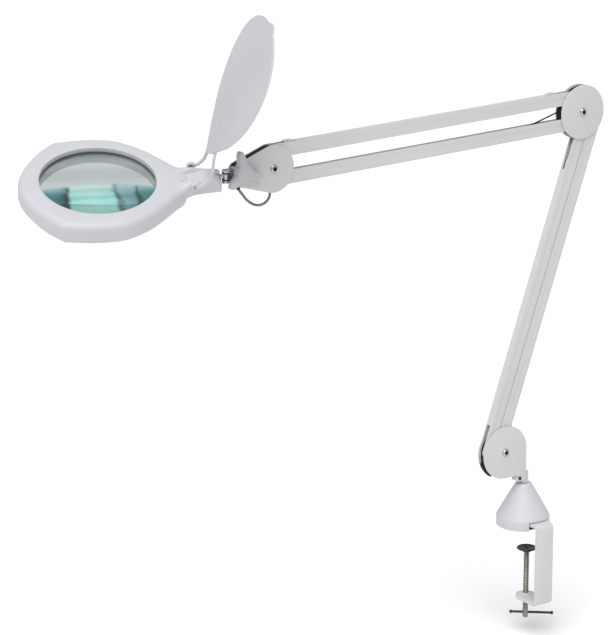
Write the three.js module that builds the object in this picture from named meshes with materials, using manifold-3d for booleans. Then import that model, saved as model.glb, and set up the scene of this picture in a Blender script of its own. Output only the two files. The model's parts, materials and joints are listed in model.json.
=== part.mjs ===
// A clamp-on magnifying lamp: a table clamp with a swivel, two parallel-bar arms joined at an
// elbow, and a head with a lens, a ring of LEDs and a hinged lens cover.
// Millimetres. +Z is up, the arm lies in the XZ plane and reaches towards -X, and the origin is
// on the swivel axis where the clamp's rubber pad rests on the table top.
import * as THREE from 'three';
import { mergeVertices } from 'three/addons/utils/BufferGeometryUtils.js';
import Module from 'manifold-3d';

const wasm = await Module();
wasm.setup();

// ---------------------------------------------------------------- driving dimensions
const deg = THREE.MathUtils.degToRad;
const GAP = 0.3; // clearance between pieces that touch
const FINE = 36; // sides of a large round
const COARSE = 12; // sides of a small round

// The arm. Angles in the arm plane are measured from +X towards +Z.
const LOWER_LENGTH = 376; // pivot to pivot
const UPPER_LENGTH = 409;
const LOWER_ANGLE = deg(70.6); // from the base hub up to the elbow
const UPPER_ANGLE = deg(182.3); // from the elbow out to the head
const PIVOT_SPACING = 30; // between the two pivots of a bar pair, on each hub
const LOWER_PIVOT_ANGLE = deg(39.3); // from pivot A to pivot B of the lower pair
const BAR_WIDTH = 14.8;
const BAR_DEPTH = 8;
const BAR_WALL = 1.2;
const BAR_EAR = 30; // the back wall of the channel stops this far from each pivot

// The hubs: two side plates with a web between them, which the bars' open channels straddle.
const HUB_RADIUS = 31;
const HEAD_HUB_RADIUS = 25.4;
const PLATE_IN = BAR_DEPTH / 2 + GAP;
const PLATE_OUT = PLATE_IN + 1.4;
const WEB_HALF = 2.4;
const WEB_INSET = 1.5; // the web's rim lies this far inside the plates' rim
const NOSE_OUT = 1.4; // the web's nose stands this far outside it
const PIN_RADIUS = 2.5;
const SCREW_RADIUS = 1.5;
const TILT_BOLT_RADIUS = 2.4;
const BORE = PIN_RADIUS + GAP;
const BASE_HUB = new THREE.Vector2(-32.3, 94);

// The clamp.
const STRAP_WIDTH = 23.5;
const STRAP_THICK = 4.5;
const STRAP_OUT_Y = -42;
const JAW_TOP_Z = 6.2; // underside of the top leg
const JAW_LOW_Z = -88.5; // underside of the lower leg
const SCREW_Y = -8.5;
const CLAMP_SCREW_RADIUS = 3.2;
const CLAMP_SCREW_END = -112.5;
const TOMMY_Z = -106.5;
const TOMMY_ANGLE = deg(-39.5);
const PAD_TOP_Z = -26;
const BELL_RADIUS = 31;
const BELL_BAND_TOP = 12.5;
const BELL_TOP_Z = 50.8;
const POST_RADIUS = 3;
const FOOT_RADIUS = 5.5;
const FOOT_Z = 51.4;
const TAB_LOW_Z = 55; // the base plates' tab ends here

// The head joint: tilt about K, swing about the upright pin through Q, roll about the stub.
const TILT_OFFSET = new THREE.Vector2(-41.2, 1.9); // from the head hub's centre to K
const SWING_OFFSET = new THREE.Vector2(-15, -4); // from K to Q
const HEAD_YAW = deg(-25);
const HEAD_ROLL = deg(22.3);
const STUB_RADIUS = 3.9;
const STUB_SHAFT = 2.6;

// The head, in its own frame: origin at the centre of the lens opening, +X towards the neck.
const HEAD_REACH = 132; // from the lens centre to the swing pin
const LENS_OPENING = 60;
const LENS_RADIUS = 63.2;
const LENS_CURVE = 346; // radius of each face of a three-dioptre lens
const LENS_EDGE = 3;
const LENS_MID_Z = -8;
const SHELL_WALL = 2.2;
const SHELL_SPLIT_Z = -12;
const SHELL_TOP_Z = 1;
const SHELL_LOW_Z = -25;
const LED_OUTER = 70.5;
const NECK_START = 92.8;
const NECK_END = 127;
const NECK_TOP_Z = 4.6;
const NECK_LOW_Z = -11;
const COVER_PIVOT_X = 98;
const COVER_PIVOT_Z = 1.4;
const COVER_OPEN = deg(112);
const COVER_THICK = 2.2;

// ---------------------------------------------------------------- materials
const finish = (color, roughness, metalness = 0) =>
  new THREE.MeshStandardMaterial({ color, roughness, metalness });
const whitePaint = finish(0xe2e3e6, 0.38);
const whitePlastic = finish(0xe6e6ec, 0.45);
const coverPlastic = finish(0xdcdde2, 0.4);
const blackPlastic = finish(0x17181a, 0.5);
const rubber = finish(0x1d1d1e, 0.85);
const chrome = finish(0xd9dcdf, 0.12, 1);
const steel = finish(0x8d9093, 0.32, 1);
const darkSteel = finish(0x3a3836, 0.4, 1);
const brass = finish(0xb9974f, 0.35, 1);
const greyCable = finish(0x6f7276, 0.6);
const circuitBoard = finish(0xe8ebe8, 0.55);
const diffuserPlastic = finish(0xf2f4f2, 0.6);
const glass = new THREE.MeshStandardMaterial({
  color: 0xbfe6df,
  roughness: 0.05,
  transparent: true,
  opacity: 0.35,
});

// ---------------------------------------------------------------- solids
// A closed three.js geometry as a manifold-3d solid, for cutting and joining.
function solid(geometry) {
  const bare = geometry.clone();
  for (const name of ['normal', 'uv', 'color']) bare.deleteAttribute(name);
  const merged = mergeVertices(bare, 1e-4);
  return new wasm.Manifold(
    new wasm.Mesh({
      numProp: 3,
      vertProperties: merged.attributes.position.array,
      triVerts: new Uint32Array(merged.index.array),
    }),
  );
}

// A manifold-3d solid as a three.js geometry.
function geometryOf(shape) {
  const { vertProperties, triVerts } = shape.getMesh();
  const geometry = new THREE.BufferGeometry();
  geometry.setAttribute('position', new THREE.BufferAttribute(new Float32Array(vertProperties), 3));
  geometry.setIndex(new THREE.BufferAttribute(new Uint32Array(triVerts), 1));
  geometry.computeVertexNormals();
  return geometry;
}

const joined = (...geometries) =>
  geometryOf(geometries.map(solid).reduce((whole, part) => whole.add(part)));

const cut = (geometry, ...tools) =>
  geometryOf(tools.map(solid).reduce((left, tool) => left.subtract(tool), solid(geometry)));

const overlap = (geometry, other) => geometryOf(solid(geometry).intersect(solid(other)));

// Round bars along each axis, between two stations.
function roundY(radius, from, to, x = 0, z = 0, sides = COARSE) {
  const bar = new THREE.CylinderGeometry(radius, radius, to - from, sides);
  return bar.translate(x, (from + to) / 2, z);
}

function roundZ(radius, from, to, x = 0, y = 0, sides = COARSE) {
  const bar = new THREE.CylinderGeometry(radius, radius, to - from, sides).rotateX(Math.PI / 2);
  return bar.translate(x, y, (from + to) / 2);
}

function roundX(radius, from, to, y = 0, z = 0, sides = COARSE) {
  const bar = new THREE.CylinderGeometry(radius, radius, to - from, sides).rotateZ(Math.PI / 2);
  return bar.translate((from + to) / 2, y, z);
}

function block([x0, x1], [y0, y1], [z0, z1]) {
  const box = new THREE.BoxGeometry(x1 - x0, y1 - y0, z1 - z0);
  return box.translate((x0 + x1) / 2, (y0 + y1) / 2, (z0 + z1) / 2);
}

// A shape drawn in the XY plane, given thickness along Z, with its edges eased.
function plateZ(shape, from, to, ease = 0) {
  const plate = new THREE.ExtrudeGeometry(shape, {
    depth: to - from - 2 * ease,
    bevelEnabled: ease > 0,
    bevelThickness: ease,
    bevelSize: ease,
    bevelOffset: -ease,
    bevelSegments: 1,
    curveSegments: 15,
  });
  return plate.translate(0, 0, from + ease);
}

// A shape drawn in the XZ plane, given thickness along Y.
const plateY = (shape, from, to, ease = 0) => plateZ(shape, -to, -from, ease).rotateX(Math.PI / 2);

// A profile of [radius, z] points turned about the Z axis.
function turned(profile, sides = FINE) {
  const points = profile.map(([r, z]) => new THREE.Vector2(r, z));
  return new THREE.LatheGeometry(points, sides).rotateX(Math.PI / 2);
}

// A flat ring about the Z axis.
const ring = (inner, outer, z0, z1) =>
  turned([[inner, z0], [outer, z0], [outer, z1], [inner, z1], [inner, z0]]);

// Stacked outlines with the same number of points, closed by a fan at each end.
function loft(outlines) {
  const count = outlines[0].length;
  const position = outlines.flat().flatMap((p) => [p.x, p.y, p.z]);
  const ends = [outlines[0], outlines[outlines.length - 1]];
  for (const end of ends) {
    const middle = end.reduce((sum, p) => sum.add(p), new THREE.Vector3()).divideScalar(count);
    position.push(middle.x, middle.y, middle.z);
  }
  const bottom = outlines.length * count;
  const top = bottom + 1;
  const index = [];
  for (let i = 0; i < count; i++) {
    const next = (i + 1) % count;
    index.push(bottom, next, i);
    for (let level = 0; level + 1 < outlines.length; level++) {
      const low = level * count;
      const high = low + count;
      index.push(low + i, low + next, high + next, low + i, high + next, high + i);
    }
    index.push(top, bottom - count + i, bottom - count + next);
  }
  const geometry = new THREE.BufferGeometry();
  geometry.setAttribute('position', new THREE.Float32BufferAttribute(position, 3));
  geometry.setIndex(index);
  return geometry;
}

// The convex outline round a set of circles, each [x, y, radius].
function hullShape(circles, sides = 28) {
  const points = circles.flatMap(([x, y, r]) =>
    Array.from({ length: sides }, (_, i) => {
      const a = (2 * Math.PI * i) / sides;
      return new THREE.Vector2(x + r * Math.cos(a), y + r * Math.sin(a));
    }),
  );
  points.sort((a, b) => a.x - b.x || a.y - b.y);
  const turn = (o, a, b) => (a.x - o.x) * (b.y - o.y) - (a.y - o.y) * (b.x - o.x);
  const half = (list) => {
    const chain = [];
    for (const p of list) {
      while (chain.length > 1 && turn(chain.at(-2), chain.at(-1), p) < 1e-6) chain.pop();
      chain.push(p);
    }
    return chain.slice(0, -1);
  };
  return new THREE.Shape([...half(points), ...half(points.reverse())]);
}

// ---------------------------------------------------------------- places in the arm plane
const polar = (angle, length) =>
  new THREE.Vector2(Math.cos(angle) * length, Math.sin(angle) * length);

// A point that lies `along` a direction and `left` of it, from an origin.
const offset = (origin, angle, along, left) =>
  origin.clone().add(polar(angle, along)).add(polar(angle + Math.PI / 2, left));

const baseA = offset(BASE_HUB, LOWER_ANGLE, -4, 24);
const baseB = baseA.clone().add(polar(LOWER_PIVOT_ANGLE, PIVOT_SPACING));
const elbowA = baseA.clone().add(polar(LOWER_ANGLE, LOWER_LENGTH));
const elbowB = baseB.clone().add(polar(LOWER_ANGLE, LOWER_LENGTH));
const elbowHub = offset(elbowA, LOWER_ANGLE, 24.5, 7.3);
const elbowLow = offset(elbowHub, UPPER_ANGLE, 10, 11.9);
const elbowTop = offset(elbowLow, UPPER_ANGLE, 0, -PIVOT_SPACING);
const headLow = elbowLow.clone().add(polar(UPPER_ANGLE, UPPER_LENGTH));
const headTop = elbowTop.clone().add(polar(UPPER_ANGLE, UPPER_LENGTH));
const headHub = offset(headLow, UPPER_ANGLE, 1, -11.9);
const tiltAxis = headHub.clone().add(TILT_OFFSET);
const swingAxis = tiltAxis.clone().add(SWING_OFFSET);

// ---------------------------------------------------------------- the assembly
const lamp = new THREE.Group();

function add(name, geometry, material, parent = lamp) {
  const mesh = new THREE.Mesh(geometry, material);
  mesh.name = name;
  parent.add(mesh);
  return mesh;
}

// ---------------------------------------------------------------- clamp
// The C-shaped strap, drawn in the YZ plane, with a boss on its top leg for the swivel bush.
function clampFrame() {
  const bend = 5;
  const legTop = JAW_TOP_Z + 4;
  const legEnd = 14;
  const inner = STRAP_OUT_Y + STRAP_THICK;
  const outline = new THREE.Shape();
  outline.moveTo(legEnd, legTop);
  outline.lineTo(STRAP_OUT_Y + bend, legTop);
  outline.absarc(STRAP_OUT_Y + bend, legTop - bend, bend, Math.PI / 2, Math.PI, false);
  outline.lineTo(STRAP_OUT_Y, JAW_LOW_Z + bend);
  outline.absarc(STRAP_OUT_Y + bend, JAW_LOW_Z + bend, bend, Math.PI, 1.5 * Math.PI, false);
  outline.lineTo(legEnd, JAW_LOW_Z);
  outline.lineTo(legEnd, JAW_LOW_Z + STRAP_THICK);
  outline.lineTo(inner, JAW_LOW_Z + STRAP_THICK);
  outline.lineTo(inner, JAW_TOP_Z);
  outline.lineTo(legEnd, JAW_TOP_Z);
  const strap = new THREE.ExtrudeGeometry(outline, {
    depth: STRAP_WIDTH,
    bevelEnabled: false,
    curveSegments: 3,
  });
  strap.rotateY(Math.PI / 2).rotateX(Math.PI / 2).translate(-STRAP_WIDTH / 2, 0, 0);
  const half = STRAP_WIDTH / 2;
  const roundedLeg = (endY, low, high) => joined(
    block([-half, half], [STRAP_OUT_Y - 1, endY], [low, high]),
    roundZ(half, low, high, 0, endY, 32),
  );
  const legs = joined(roundedLeg(0, -1, legTop + 1), roundedLeg(SCREW_Y, JAW_LOW_Z - 1, 0));
  const boss = roundZ(9, legTop - 1, 38, 0, 0, 24);
  const bushBore = roundZ(6 + GAP, JAW_TOP_Z - 1, 39);
  const screwBore = roundZ(CLAMP_SCREW_RADIUS + GAP, JAW_LOW_Z - 1, JAW_LOW_Z + 9, 0, SCREW_Y);
  return cut(joined(overlap(strap, legs), boss), bushBore, screwBore);
}

// The cone-shaped cover over the boss, notched where the strap comes out.
function baseBell() {
  const wall = 1.8;
  const rim = 0.6;
  const cone = turned([
    [BELL_RADIUS - wall, rim],
    [BELL_RADIUS, rim],
    [BELL_RADIUS, BELL_BAND_TOP],
    [9, BELL_TOP_Z],
    [POST_RADIUS + GAP + 0.4, BELL_TOP_Z],
    [POST_RADIUS + GAP + 0.4, BELL_TOP_Z - wall],
    [7.8, BELL_TOP_Z - wall],
    [BELL_RADIUS - wall, BELL_BAND_TOP - 1],
    [BELL_RADIUS - wall, rim],
  ]);
  const half = STRAP_WIDTH / 2 + 0.6;
  return cut(cone, block([-half, half], [-2 * BELL_RADIUS, -20], [-1, JAW_TOP_Z + 4.8]));
}

// The pressure pad turns on the tip of the clamp screw.
function screwPad() {
  const cup = turned([
    [0, PAD_TOP_Z - 0.6],
    [9.5, PAD_TOP_Z - 0.6],
    [10.3, PAD_TOP_Z],
    [11.5, PAD_TOP_Z - 0.4],
    [11.5, PAD_TOP_Z - 1.8],
    [6, PAD_TOP_Z - 2.8],
    [5, PAD_TOP_Z - 5.5],
    [0, PAD_TOP_Z - 5.5],
  ].reverse(), 24).translate(0, SCREW_Y, 0);
  return cut(cup, roundZ(1.8 + GAP, PAD_TOP_Z - 6, PAD_TOP_Z - 2, 0, SCREW_Y, 12));
}

function clampScrew() {
  const shoulder = PAD_TOP_Z - 5.5 - GAP;
  const shank = roundZ(CLAMP_SCREW_RADIUS, CLAMP_SCREW_END, shoulder, 0, SCREW_Y, 20);
  const tip = roundZ(1.8, shoulder - 1, PAD_TOP_Z - 2 - GAP, 0, SCREW_Y, 12);
  const crossBore = roundX(1.75, -5, 5, 0, 0, 12).rotateZ(TOMMY_ANGLE).translate(0, SCREW_Y, TOMMY_Z);
  return cut(joined(shank, tip), crossBore);
}

// The sliding bar that turns the clamp screw, with an upset knob on each end.
function tommyBar() {
  const [from, to] = [-18.5, 32.5];
  const knob = 3;
  const bar = joined(
    roundX(1.4, from + 1, to - 1, 0, 0, 12),
    roundX(2, from, from + knob, 0, 0, 12),
    roundX(2, to - knob, to, 0, 0, 12),
  );
  return bar.rotateZ(TOMMY_ANGLE).translate(0, SCREW_Y, TOMMY_Z);
}

add('clamp_frame', clampFrame(), whitePaint);
add('table_pad', roundZ(24, 0, JAW_TOP_Z - GAP, 0, 0, 36), rubber);
add('base_bell', baseBell(), whitePlastic);
add('swivel_bush', turned([
  [POST_RADIUS + GAP, JAW_TOP_Z + 1],
  [6, JAW_TOP_Z + 1],
  [6, 38 + GAP],
  [8.5, 38 + GAP],
  [8.5, 40.3],
  [POST_RADIUS + GAP, 40.3],
  [POST_RADIUS + GAP, JAW_TOP_Z + 1],
], 24), brass);
add('screw_pad', screwPad(), darkSteel);
add('clamp_screw', clampScrew(), darkSteel);
add('tommy_bar', tommyBar(), darkSteel);

// ---------------------------------------------------------------- hub pieces
// A round shape in the arm plane.
const discShape = (centre, radius) =>
  new THREE.Shape().absarc(centre.x, centre.y, radius, 0, 2 * Math.PI, false);

// The web of a large hub: a disc that stands out past the plates between two angles.
function nosedDisc(centre, from, to) {
  const shape = new THREE.Shape();
  shape.absarc(centre.x, centre.y, HUB_RADIUS + NOSE_OUT, deg(from), deg(to), false);
  shape.absarc(centre.x, centre.y, HUB_RADIUS - WEB_INSET, deg(to + 5), deg(from + 355), false);
  return shape;
}

const boreAt = (centre, radius, reach = 20) => roundY(radius, -reach, reach, centre.x, centre.y);

// The two side plates of a hub, with a hole for the screw through its middle.
function hubPlates(name, shape, centre, extraHoles = []) {
  const holes = [boreAt(centre, SCREW_RADIUS + GAP), ...extraHoles];
  const front = plateY(shape, -PLATE_OUT, -PLATE_IN, 0.45);
  const rear = plateY(shape, PLATE_IN, PLATE_OUT, 0.45);
  add(`${name}_plate_front`, cut(front, ...holes), whitePaint);
  add(`${name}_plate_rear`, cut(rear, ...holes), whitePaint);
}

// The web between the plates, bored for the pivot pins and the middle screw.
function hubWeb(name, shape, centre, pivots, cuts = []) {
  const web = plateY(shape, -WEB_HALF, WEB_HALF);
  const bores = pivots.map((p) => boreAt(p, BORE));
  add(`${name}_web`, cut(web, boreAt(centre, SCREW_RADIUS + GAP), ...bores, ...cuts), blackPlastic);
}

const pivotPin = (name, at) =>
  add(name, roundY(PIN_RADIUS, GAP - PLATE_IN, PLATE_IN - GAP, at.x, at.y), steel);

// The screw through the middle of a hub, with a domed socket head in front and a nut behind.
function hubScrew(name, centre) {
  const face = PLATE_OUT + GAP;
  const head = new THREE.LatheGeometry([
    new THREE.Vector2(0, face),
    new THREE.Vector2(4.2, face),
    new THREE.Vector2(4.2, face + 1.1),
    new THREE.Vector2(3.4, face + 1.9),
    new THREE.Vector2(2, face + 2.3),
    new THREE.Vector2(0, face + 2.4),
  ], 20).rotateX(Math.PI);
  const body = joined(head, roundY(SCREW_RADIUS, -face - 0.5, PLATE_OUT + 3.4));
  const socket = new THREE.CylinderGeometry(1.5, 1.5, 3, 6).translate(0, -face - 2.4, 0);
  add(`${name}_screw`, cut(body, socket).translate(centre.x, 0, centre.y), chrome);
  const nut = new THREE.CylinderGeometry(4.6, 4.6, 2.8, 6).translate(0, face + 1.4, 0);
  const threaded = cut(nut, roundY(SCREW_RADIUS + GAP, -20, 20));
  add(`${name}_nut`, threaded.translate(centre.x, 0, centre.y), chrome);
}

// ---------------------------------------------------------------- base hub
// A disc whose lower right quarter is squared and runs down as a tab beside the swivel foot.
function basePlateShape() {
  const { x, y } = BASE_HUB;
  const tabLeft = -13;
  const shape = new THREE.Shape();
  shape.moveTo(x, y - HUB_RADIUS);
  shape.lineTo(tabLeft, y - HUB_RADIUS);
  shape.lineTo(tabLeft, TAB_LOW_Z);
  shape.lineTo(x + HUB_RADIUS, TAB_LOW_Z);
  shape.lineTo(x + HUB_RADIUS, y);
  shape.absarc(x, y, HUB_RADIUS, 0, 1.5 * Math.PI, false);
  return shape;
}

const footScrewAt = new THREE.Vector2(-10.6, 59);
hubPlates('base', basePlateShape(), BASE_HUB, [boreAt(footScrewAt, 1.1 + GAP)]);
hubWeb('base', nosedDisc(BASE_HUB, 200, 235), BASE_HUB, [baseA, baseB]);
hubScrew('base', BASE_HUB);
pivotPin('base_pin_a', baseA);
pivotPin('base_pin_b', baseB);

// The foot joins the plates to the swivel post: a collar below the plates, and a block that
// fits between them.
const footHalf = PLATE_IN - GAP;
const footTop = 64.5;
const foot = joined(
  roundZ(FOOT_RADIUS, FOOT_Z, TAB_LOW_Z - GAP, 0, 0, 24),
  overlap(
    roundZ(FOOT_RADIUS, FOOT_Z, footTop, 0, 0, 24),
    block([-9, 9], [-footHalf, footHalf], [FOOT_Z, footTop + 1]),
  ),
  block([-12.5, 0], [-footHalf, footHalf], [TAB_LOW_Z + GAP, footTop]),
);
add('base_foot', cut(
  foot,
  roundZ(POST_RADIUS + GAP, FOOT_Z - 1, 62.3),
  roundY(1.1 + GAP, -10, 2, footScrewAt.x, footScrewAt.y, 12),
), whitePaint);
const footScrewFace = -PLATE_OUT - GAP;
add('foot_screw', joined(
  roundY(1.9, footScrewFace - 1.1, footScrewFace, footScrewAt.x, footScrewAt.y, 12),
  roundY(1.1, footScrewFace - 0.5, 1.5, footScrewAt.x, footScrewAt.y, 12),
), blackPlastic);
add('swivel_post', roundZ(POST_RADIUS, JAW_TOP_Z + 2, 62), steel);

// ---------------------------------------------------------------- elbow hub
hubPlates('elbow', discShape(elbowHub, HUB_RADIUS), elbowHub);
hubWeb('elbow', nosedDisc(elbowHub, 160, 195), elbowHub, [elbowA, elbowB, elbowLow, elbowTop]);
hubScrew('elbow', elbowHub);
pivotPin('elbow_pin_a', elbowA);
pivotPin('elbow_pin_b', elbowB);
pivotPin('elbow_pin_low', elbowLow);
pivotPin('elbow_pin_top', elbowTop);

// ---------------------------------------------------------------- head hub
// A disc drawn out to a blunt tip, which carries the tilt bolt.
const tipCircles = [
  [tiltAxis.x - 1.1, tiltAxis.y + 1.8, 7],
  [tiltAxis.x - 1.1, tiltAxis.y - 9.2, 7],
];
const headDisc = (inset) => [headHub.x, headHub.y, HEAD_HUB_RADIUS - inset];
hubPlates('head', hullShape([headDisc(0), ...tipCircles]), headHub, [boreAt(tiltAxis, BORE)]);

// The web stops short of the knuckle, and leaves room for the knuckle's tail to swing.
const tailSweep = overlap(
  boreAt(tiltAxis, 18),
  block([tiltAxis.x - 20, tiltAxis.x + 20], [-9, 9], [tiltAxis.y - 20, tiltAxis.y - 1]),
);
hubWeb('head', hullShape([headDisc(WEB_INSET), [tiltAxis.x + 8, tiltAxis.y, 8]]), headHub,
  [headLow, headTop], [boreAt(tiltAxis, 9), tailSweep]);
hubScrew('head', headHub);
pivotPin('head_pin_low', headLow);
pivotPin('head_pin_top', headTop);

// ---------------------------------------------------------------- arm bars
// A channel with round ears, drawn along +X from one pivot to the other. `back` is the side
// (+1 or -1 along Z) that its back wall is on; the other side is open, so the hubs' webs can
// pass between its walls.
function bar(length, back, slot = null) {
  const half = BAR_WIDTH / 2;
  const inside = BAR_DEPTH / 2 - BAR_WALL;
  const outline = hullShape([[0, 0, half], [length, 0, half]], 20);
  const between = (near, far) => (back > 0 ? [near, far] : [-far, -near]);
  const channel = block([-half - 1, length + half + 1], [-inside, inside],
    between(-half - 1, half - BAR_WALL));
  const earCuts = [[-half - 1, BAR_EAR], [length - BAR_EAR, length + half + 1]].map((span) =>
    block(span, [-inside, inside], between(-half - 1, half + 1)));
  const bores = [0, length].map((x) => roundY(BORE, -9, 9, x, 0));
  const slots = slot ? [block(slot, [-1.8, 1.8], between(0, half + 1))] : [];
  return cut(plateY(outline, -BAR_DEPTH / 2, BAR_DEPTH / 2), channel, ...earCuts, ...bores, ...slots);
}

// Turns a piece drawn along +X so that it runs from a pivot at an angle in the arm plane.
function placed(geometry, pivot, angle) {
  return geometry.rotateY(-angle).translate(pivot.x, 0, pivot.y);
}

const SPRING_RADIUS = 2.3;
const springWindow = [LOWER_LENGTH - 66, LOWER_LENGTH - 33];
add('lower_bar_a', placed(bar(LOWER_LENGTH, 1, springWindow), baseA, LOWER_ANGLE), whitePaint);
add('lower_bar_b', placed(bar(LOWER_LENGTH, -1), baseB, LOWER_ANGLE), whitePaint);
const lowerSpring = () => roundX(SPRING_RADIUS, LOWER_LENGTH - 150, LOWER_LENGTH - 31, 0, 0, 12);
add('lower_spring_a', placed(lowerSpring(), baseA, LOWER_ANGLE), steel);
add('lower_spring_b', placed(lowerSpring(), baseB, LOWER_ANGLE), steel);

add('upper_bar_top', placed(bar(UPPER_LENGTH, -1), elbowTop, UPPER_ANGLE), whitePaint);
add('upper_bar_low', placed(bar(UPPER_LENGTH, 1), elbowLow, UPPER_ANGLE), whitePaint);
add('upper_spring', placed(roundX(SPRING_RADIUS, 72, 200, 0, 1, 12), elbowLow, UPPER_ANGLE), steel);

// The link that ties the upper spring to the elbow's web.
const linkFrom = offset(elbowHub, 0, -34, 2.2);
const linkTo = offset(elbowHub, 0, -78, -10.4);
const linkRun = linkTo.clone().sub(linkFrom);
add('spring_link', placed(roundX(1, 0, linkRun.length(), 0, 0, 10), linkFrom, linkRun.angle()), steel);

// ---------------------------------------------------------------- tilt joint
const KNUCKLE_HALF = PLATE_IN - 0.4;
const EYE_HALF = 3.5; // half the height of the stub's eye on the swing pin
const FORK_OUT = EYE_HALF + GAP + 3.4;

// The knuckle hangs on the tilt bolt between the plates, and ends in a fork for the stub's eye.
function knuckle() {
  const { x: kx, y: kz } = tiltAxis;
  const { x: qx, y: qz } = swingAxis;
  const eye = roundY(8, -KNUCKLE_HALF, KNUCKLE_HALF, kx, kz, 28);
  const fork = joined(
    roundZ(STUB_RADIUS, qz - FORK_OUT, qz + FORK_OUT, qx, 0, 20),
    block([qx, kx], [-KNUCKLE_HALF, KNUCKLE_HALF], [qz - FORK_OUT, qz + FORK_OUT]),
  );
  const tail = block([kx - 3, kx + 3], [-KNUCKLE_HALF, KNUCKLE_HALF], [kz - 16, kz]);
  return cut(
    joined(eye, fork, tail),
    roundZ(STUB_RADIUS + 0.6, qz - EYE_HALF - GAP, qz + EYE_HALF + GAP, qx, 0, 20),
    block([qx - 9, qx], [-9, 9], [qz - EYE_HALF - GAP, qz + EYE_HALF + GAP]),
    boreAt(tiltAxis, BORE),
    roundZ(2 + GAP, qz - 20, qz + 20, qx, 0, 12),
  );
}

add('tilt_knuckle', knuckle(), chrome);
add('swing_pin', roundZ(2, swingAxis.y - FORK_OUT, swingAxis.y + FORK_OUT, swingAxis.x, 0, 12), steel);

// The three-lobed knob that clamps the plates on the knuckle, with its bolt and nut.
function tiltKnob() {
  const lobes = [98, 218, 338].map((a) => {
    const end = polar(deg(a), 18.9);
    return plateY(hullShape([[0, 0, 7.6], [end.x, end.y, 4.4]], 24), -15.6, -7.6, 1);
  });
  const hub = roundY(8.4, -16.6, -6.1, 0, 0, 28);
  const bored = cut(joined(hub, ...lobes), roundY(TILT_BOLT_RADIUS + GAP, -13, 0));
  return bored.translate(tiltAxis.x, 0, tiltAxis.y);
}

add('tilt_knob', tiltKnob(), whitePlastic);
add('tilt_bolt', roundY(TILT_BOLT_RADIUS, -12.7, 9.6, tiltAxis.x, tiltAxis.y), steel);
const tiltNut = new THREE.CylinderGeometry(5, 5, 3.4, 6).translate(0, PLATE_OUT + GAP + 1.7, 0);
add('tilt_nut', cut(tiltNut, roundY(TILT_BOLT_RADIUS + GAP, -20, 20))
  .translate(tiltAxis.x, 0, tiltAxis.y), chrome);

// The lead that crosses the joint, from the hub to the knuckle's tail. It hangs in the arm plane.
const leadRoute = [
  [headHub.x - 1.6, headHub.y - HEAD_HUB_RADIUS + 0.9],
  [headHub.x - 1.8, headHub.y - 29.5],
  [headHub.x - 5.4, headHub.y - 34.6],
  [headHub.x - 12.5, headHub.y - 37.6],
  [headHub.x - 21, headHub.y - 36.4],
  [headHub.x - 29.5, headHub.y - 31],
  [headHub.x - 36, headHub.y - 23.5],
  [tiltAxis.x + 0.6, tiltAxis.y - 19.6],
  [tiltAxis.x, tiltAxis.y - 16.3],
];

function lead() {
  const curve = new THREE.CatmullRomCurve3(leadRoute.map(([x, z]) => new THREE.Vector3(x, 0, z)));
  const section = new THREE.Shape().absarc(0, 0, 1.5, 0, 2 * Math.PI, false);
  const path = { steps: 22, bevelEnabled: false, extrudePath: curve, curveSegments: 4 };
  return new THREE.ExtrudeGeometry(section, path);
}

add('head_lead', lead(), greyCable);

// ---------------------------------------------------------------- head
// The swing frame turns about the upright pin; the head rolls in it about the stub.
const swingFrame = new THREE.Group();
swingFrame.position.set(swingAxis.x, 0, swingAxis.y);
swingFrame.rotation.z = HEAD_YAW;
lamp.add(swingFrame);
const rollFrame = new THREE.Group();
rollFrame.rotation.x = HEAD_ROLL;
swingFrame.add(rollFrame);
const head = new THREE.Group();
head.position.x = -HEAD_REACH;
rollFrame.add(head);

// The chrome stub: an eye on the swing pin, and a shaft that turns in the neck.
function headStub() {
  const eye = roundZ(STUB_RADIUS, -EYE_HALF, EYE_HALF, 0, 0, 20);
  const shaft = roundX(STUB_SHAFT, NECK_END - HEAD_REACH - 12, 0, 0, 0, 16);
  return cut(joined(eye, shaft), roundZ(2 + GAP, -9, 9, 0, 0, 12));
}
add('head_stub', headStub(), chrome, swingFrame);

// Half of the head's outline, from its front tip to the shoulder at the neck.
const headHalf = [
  [-84, 0], [-80.5, 18], [-66, 44], [-49, 69], [-37, 77], [-17, 80.5], [6, 80.5],
  [26, 76.5], [49, 62], [66, 45], [79, 29.5], [88, 20], [92, 10], [92.5, 0],
];

// The whole outline at one height, each point drawn in towards the middle by `inset`.
function headOutline(z, inset, count = 46) {
  const back = headHalf.slice(1, -1).map(([x, y]) => [x, -y]).reverse();
  const points = [...headHalf, ...back].map(([x, y]) => new THREE.Vector3(x, y, 0));
  const curve = new THREE.CatmullRomCurve3(points, true);
  return curve.getPoints(count).slice(0, count).reverse().map((p) => {
    const reach = p.length() - inset;
    return p.setLength(reach).setZ(z);
  });
}

const headLoft = (levels) => loft(levels.map(([z, inset]) => headOutline(z, inset)));

// The upper shell holds the lens in a seat and has an open hollow round it.
function topShell() {
  const skin = headLoft([
    [SHELL_SPLIT_Z, 0], [-5, 0.3], [-2, 2.4], [0, 8], [SHELL_TOP_Z, 18],
  ]);
  const hollow = solid(headLoft([[SHELL_SPLIT_Z - 1, SHELL_WALL], [-6, SHELL_WALL + 0.4], [-3.4, 7]]))
    .subtract(solid(roundZ(LENS_RADIUS + 2.6, -9.8, 0, 0, 0, FINE)));
  const seat = roundZ(LENS_RADIUS + 0.6, SHELL_SPLIT_Z - 1, -5.5, 0, 0, FINE);
  return cut(skin, geometryOf(hollow), seat, roundZ(LENS_OPENING, -20, 5, 0, 0, FINE));
}

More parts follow.
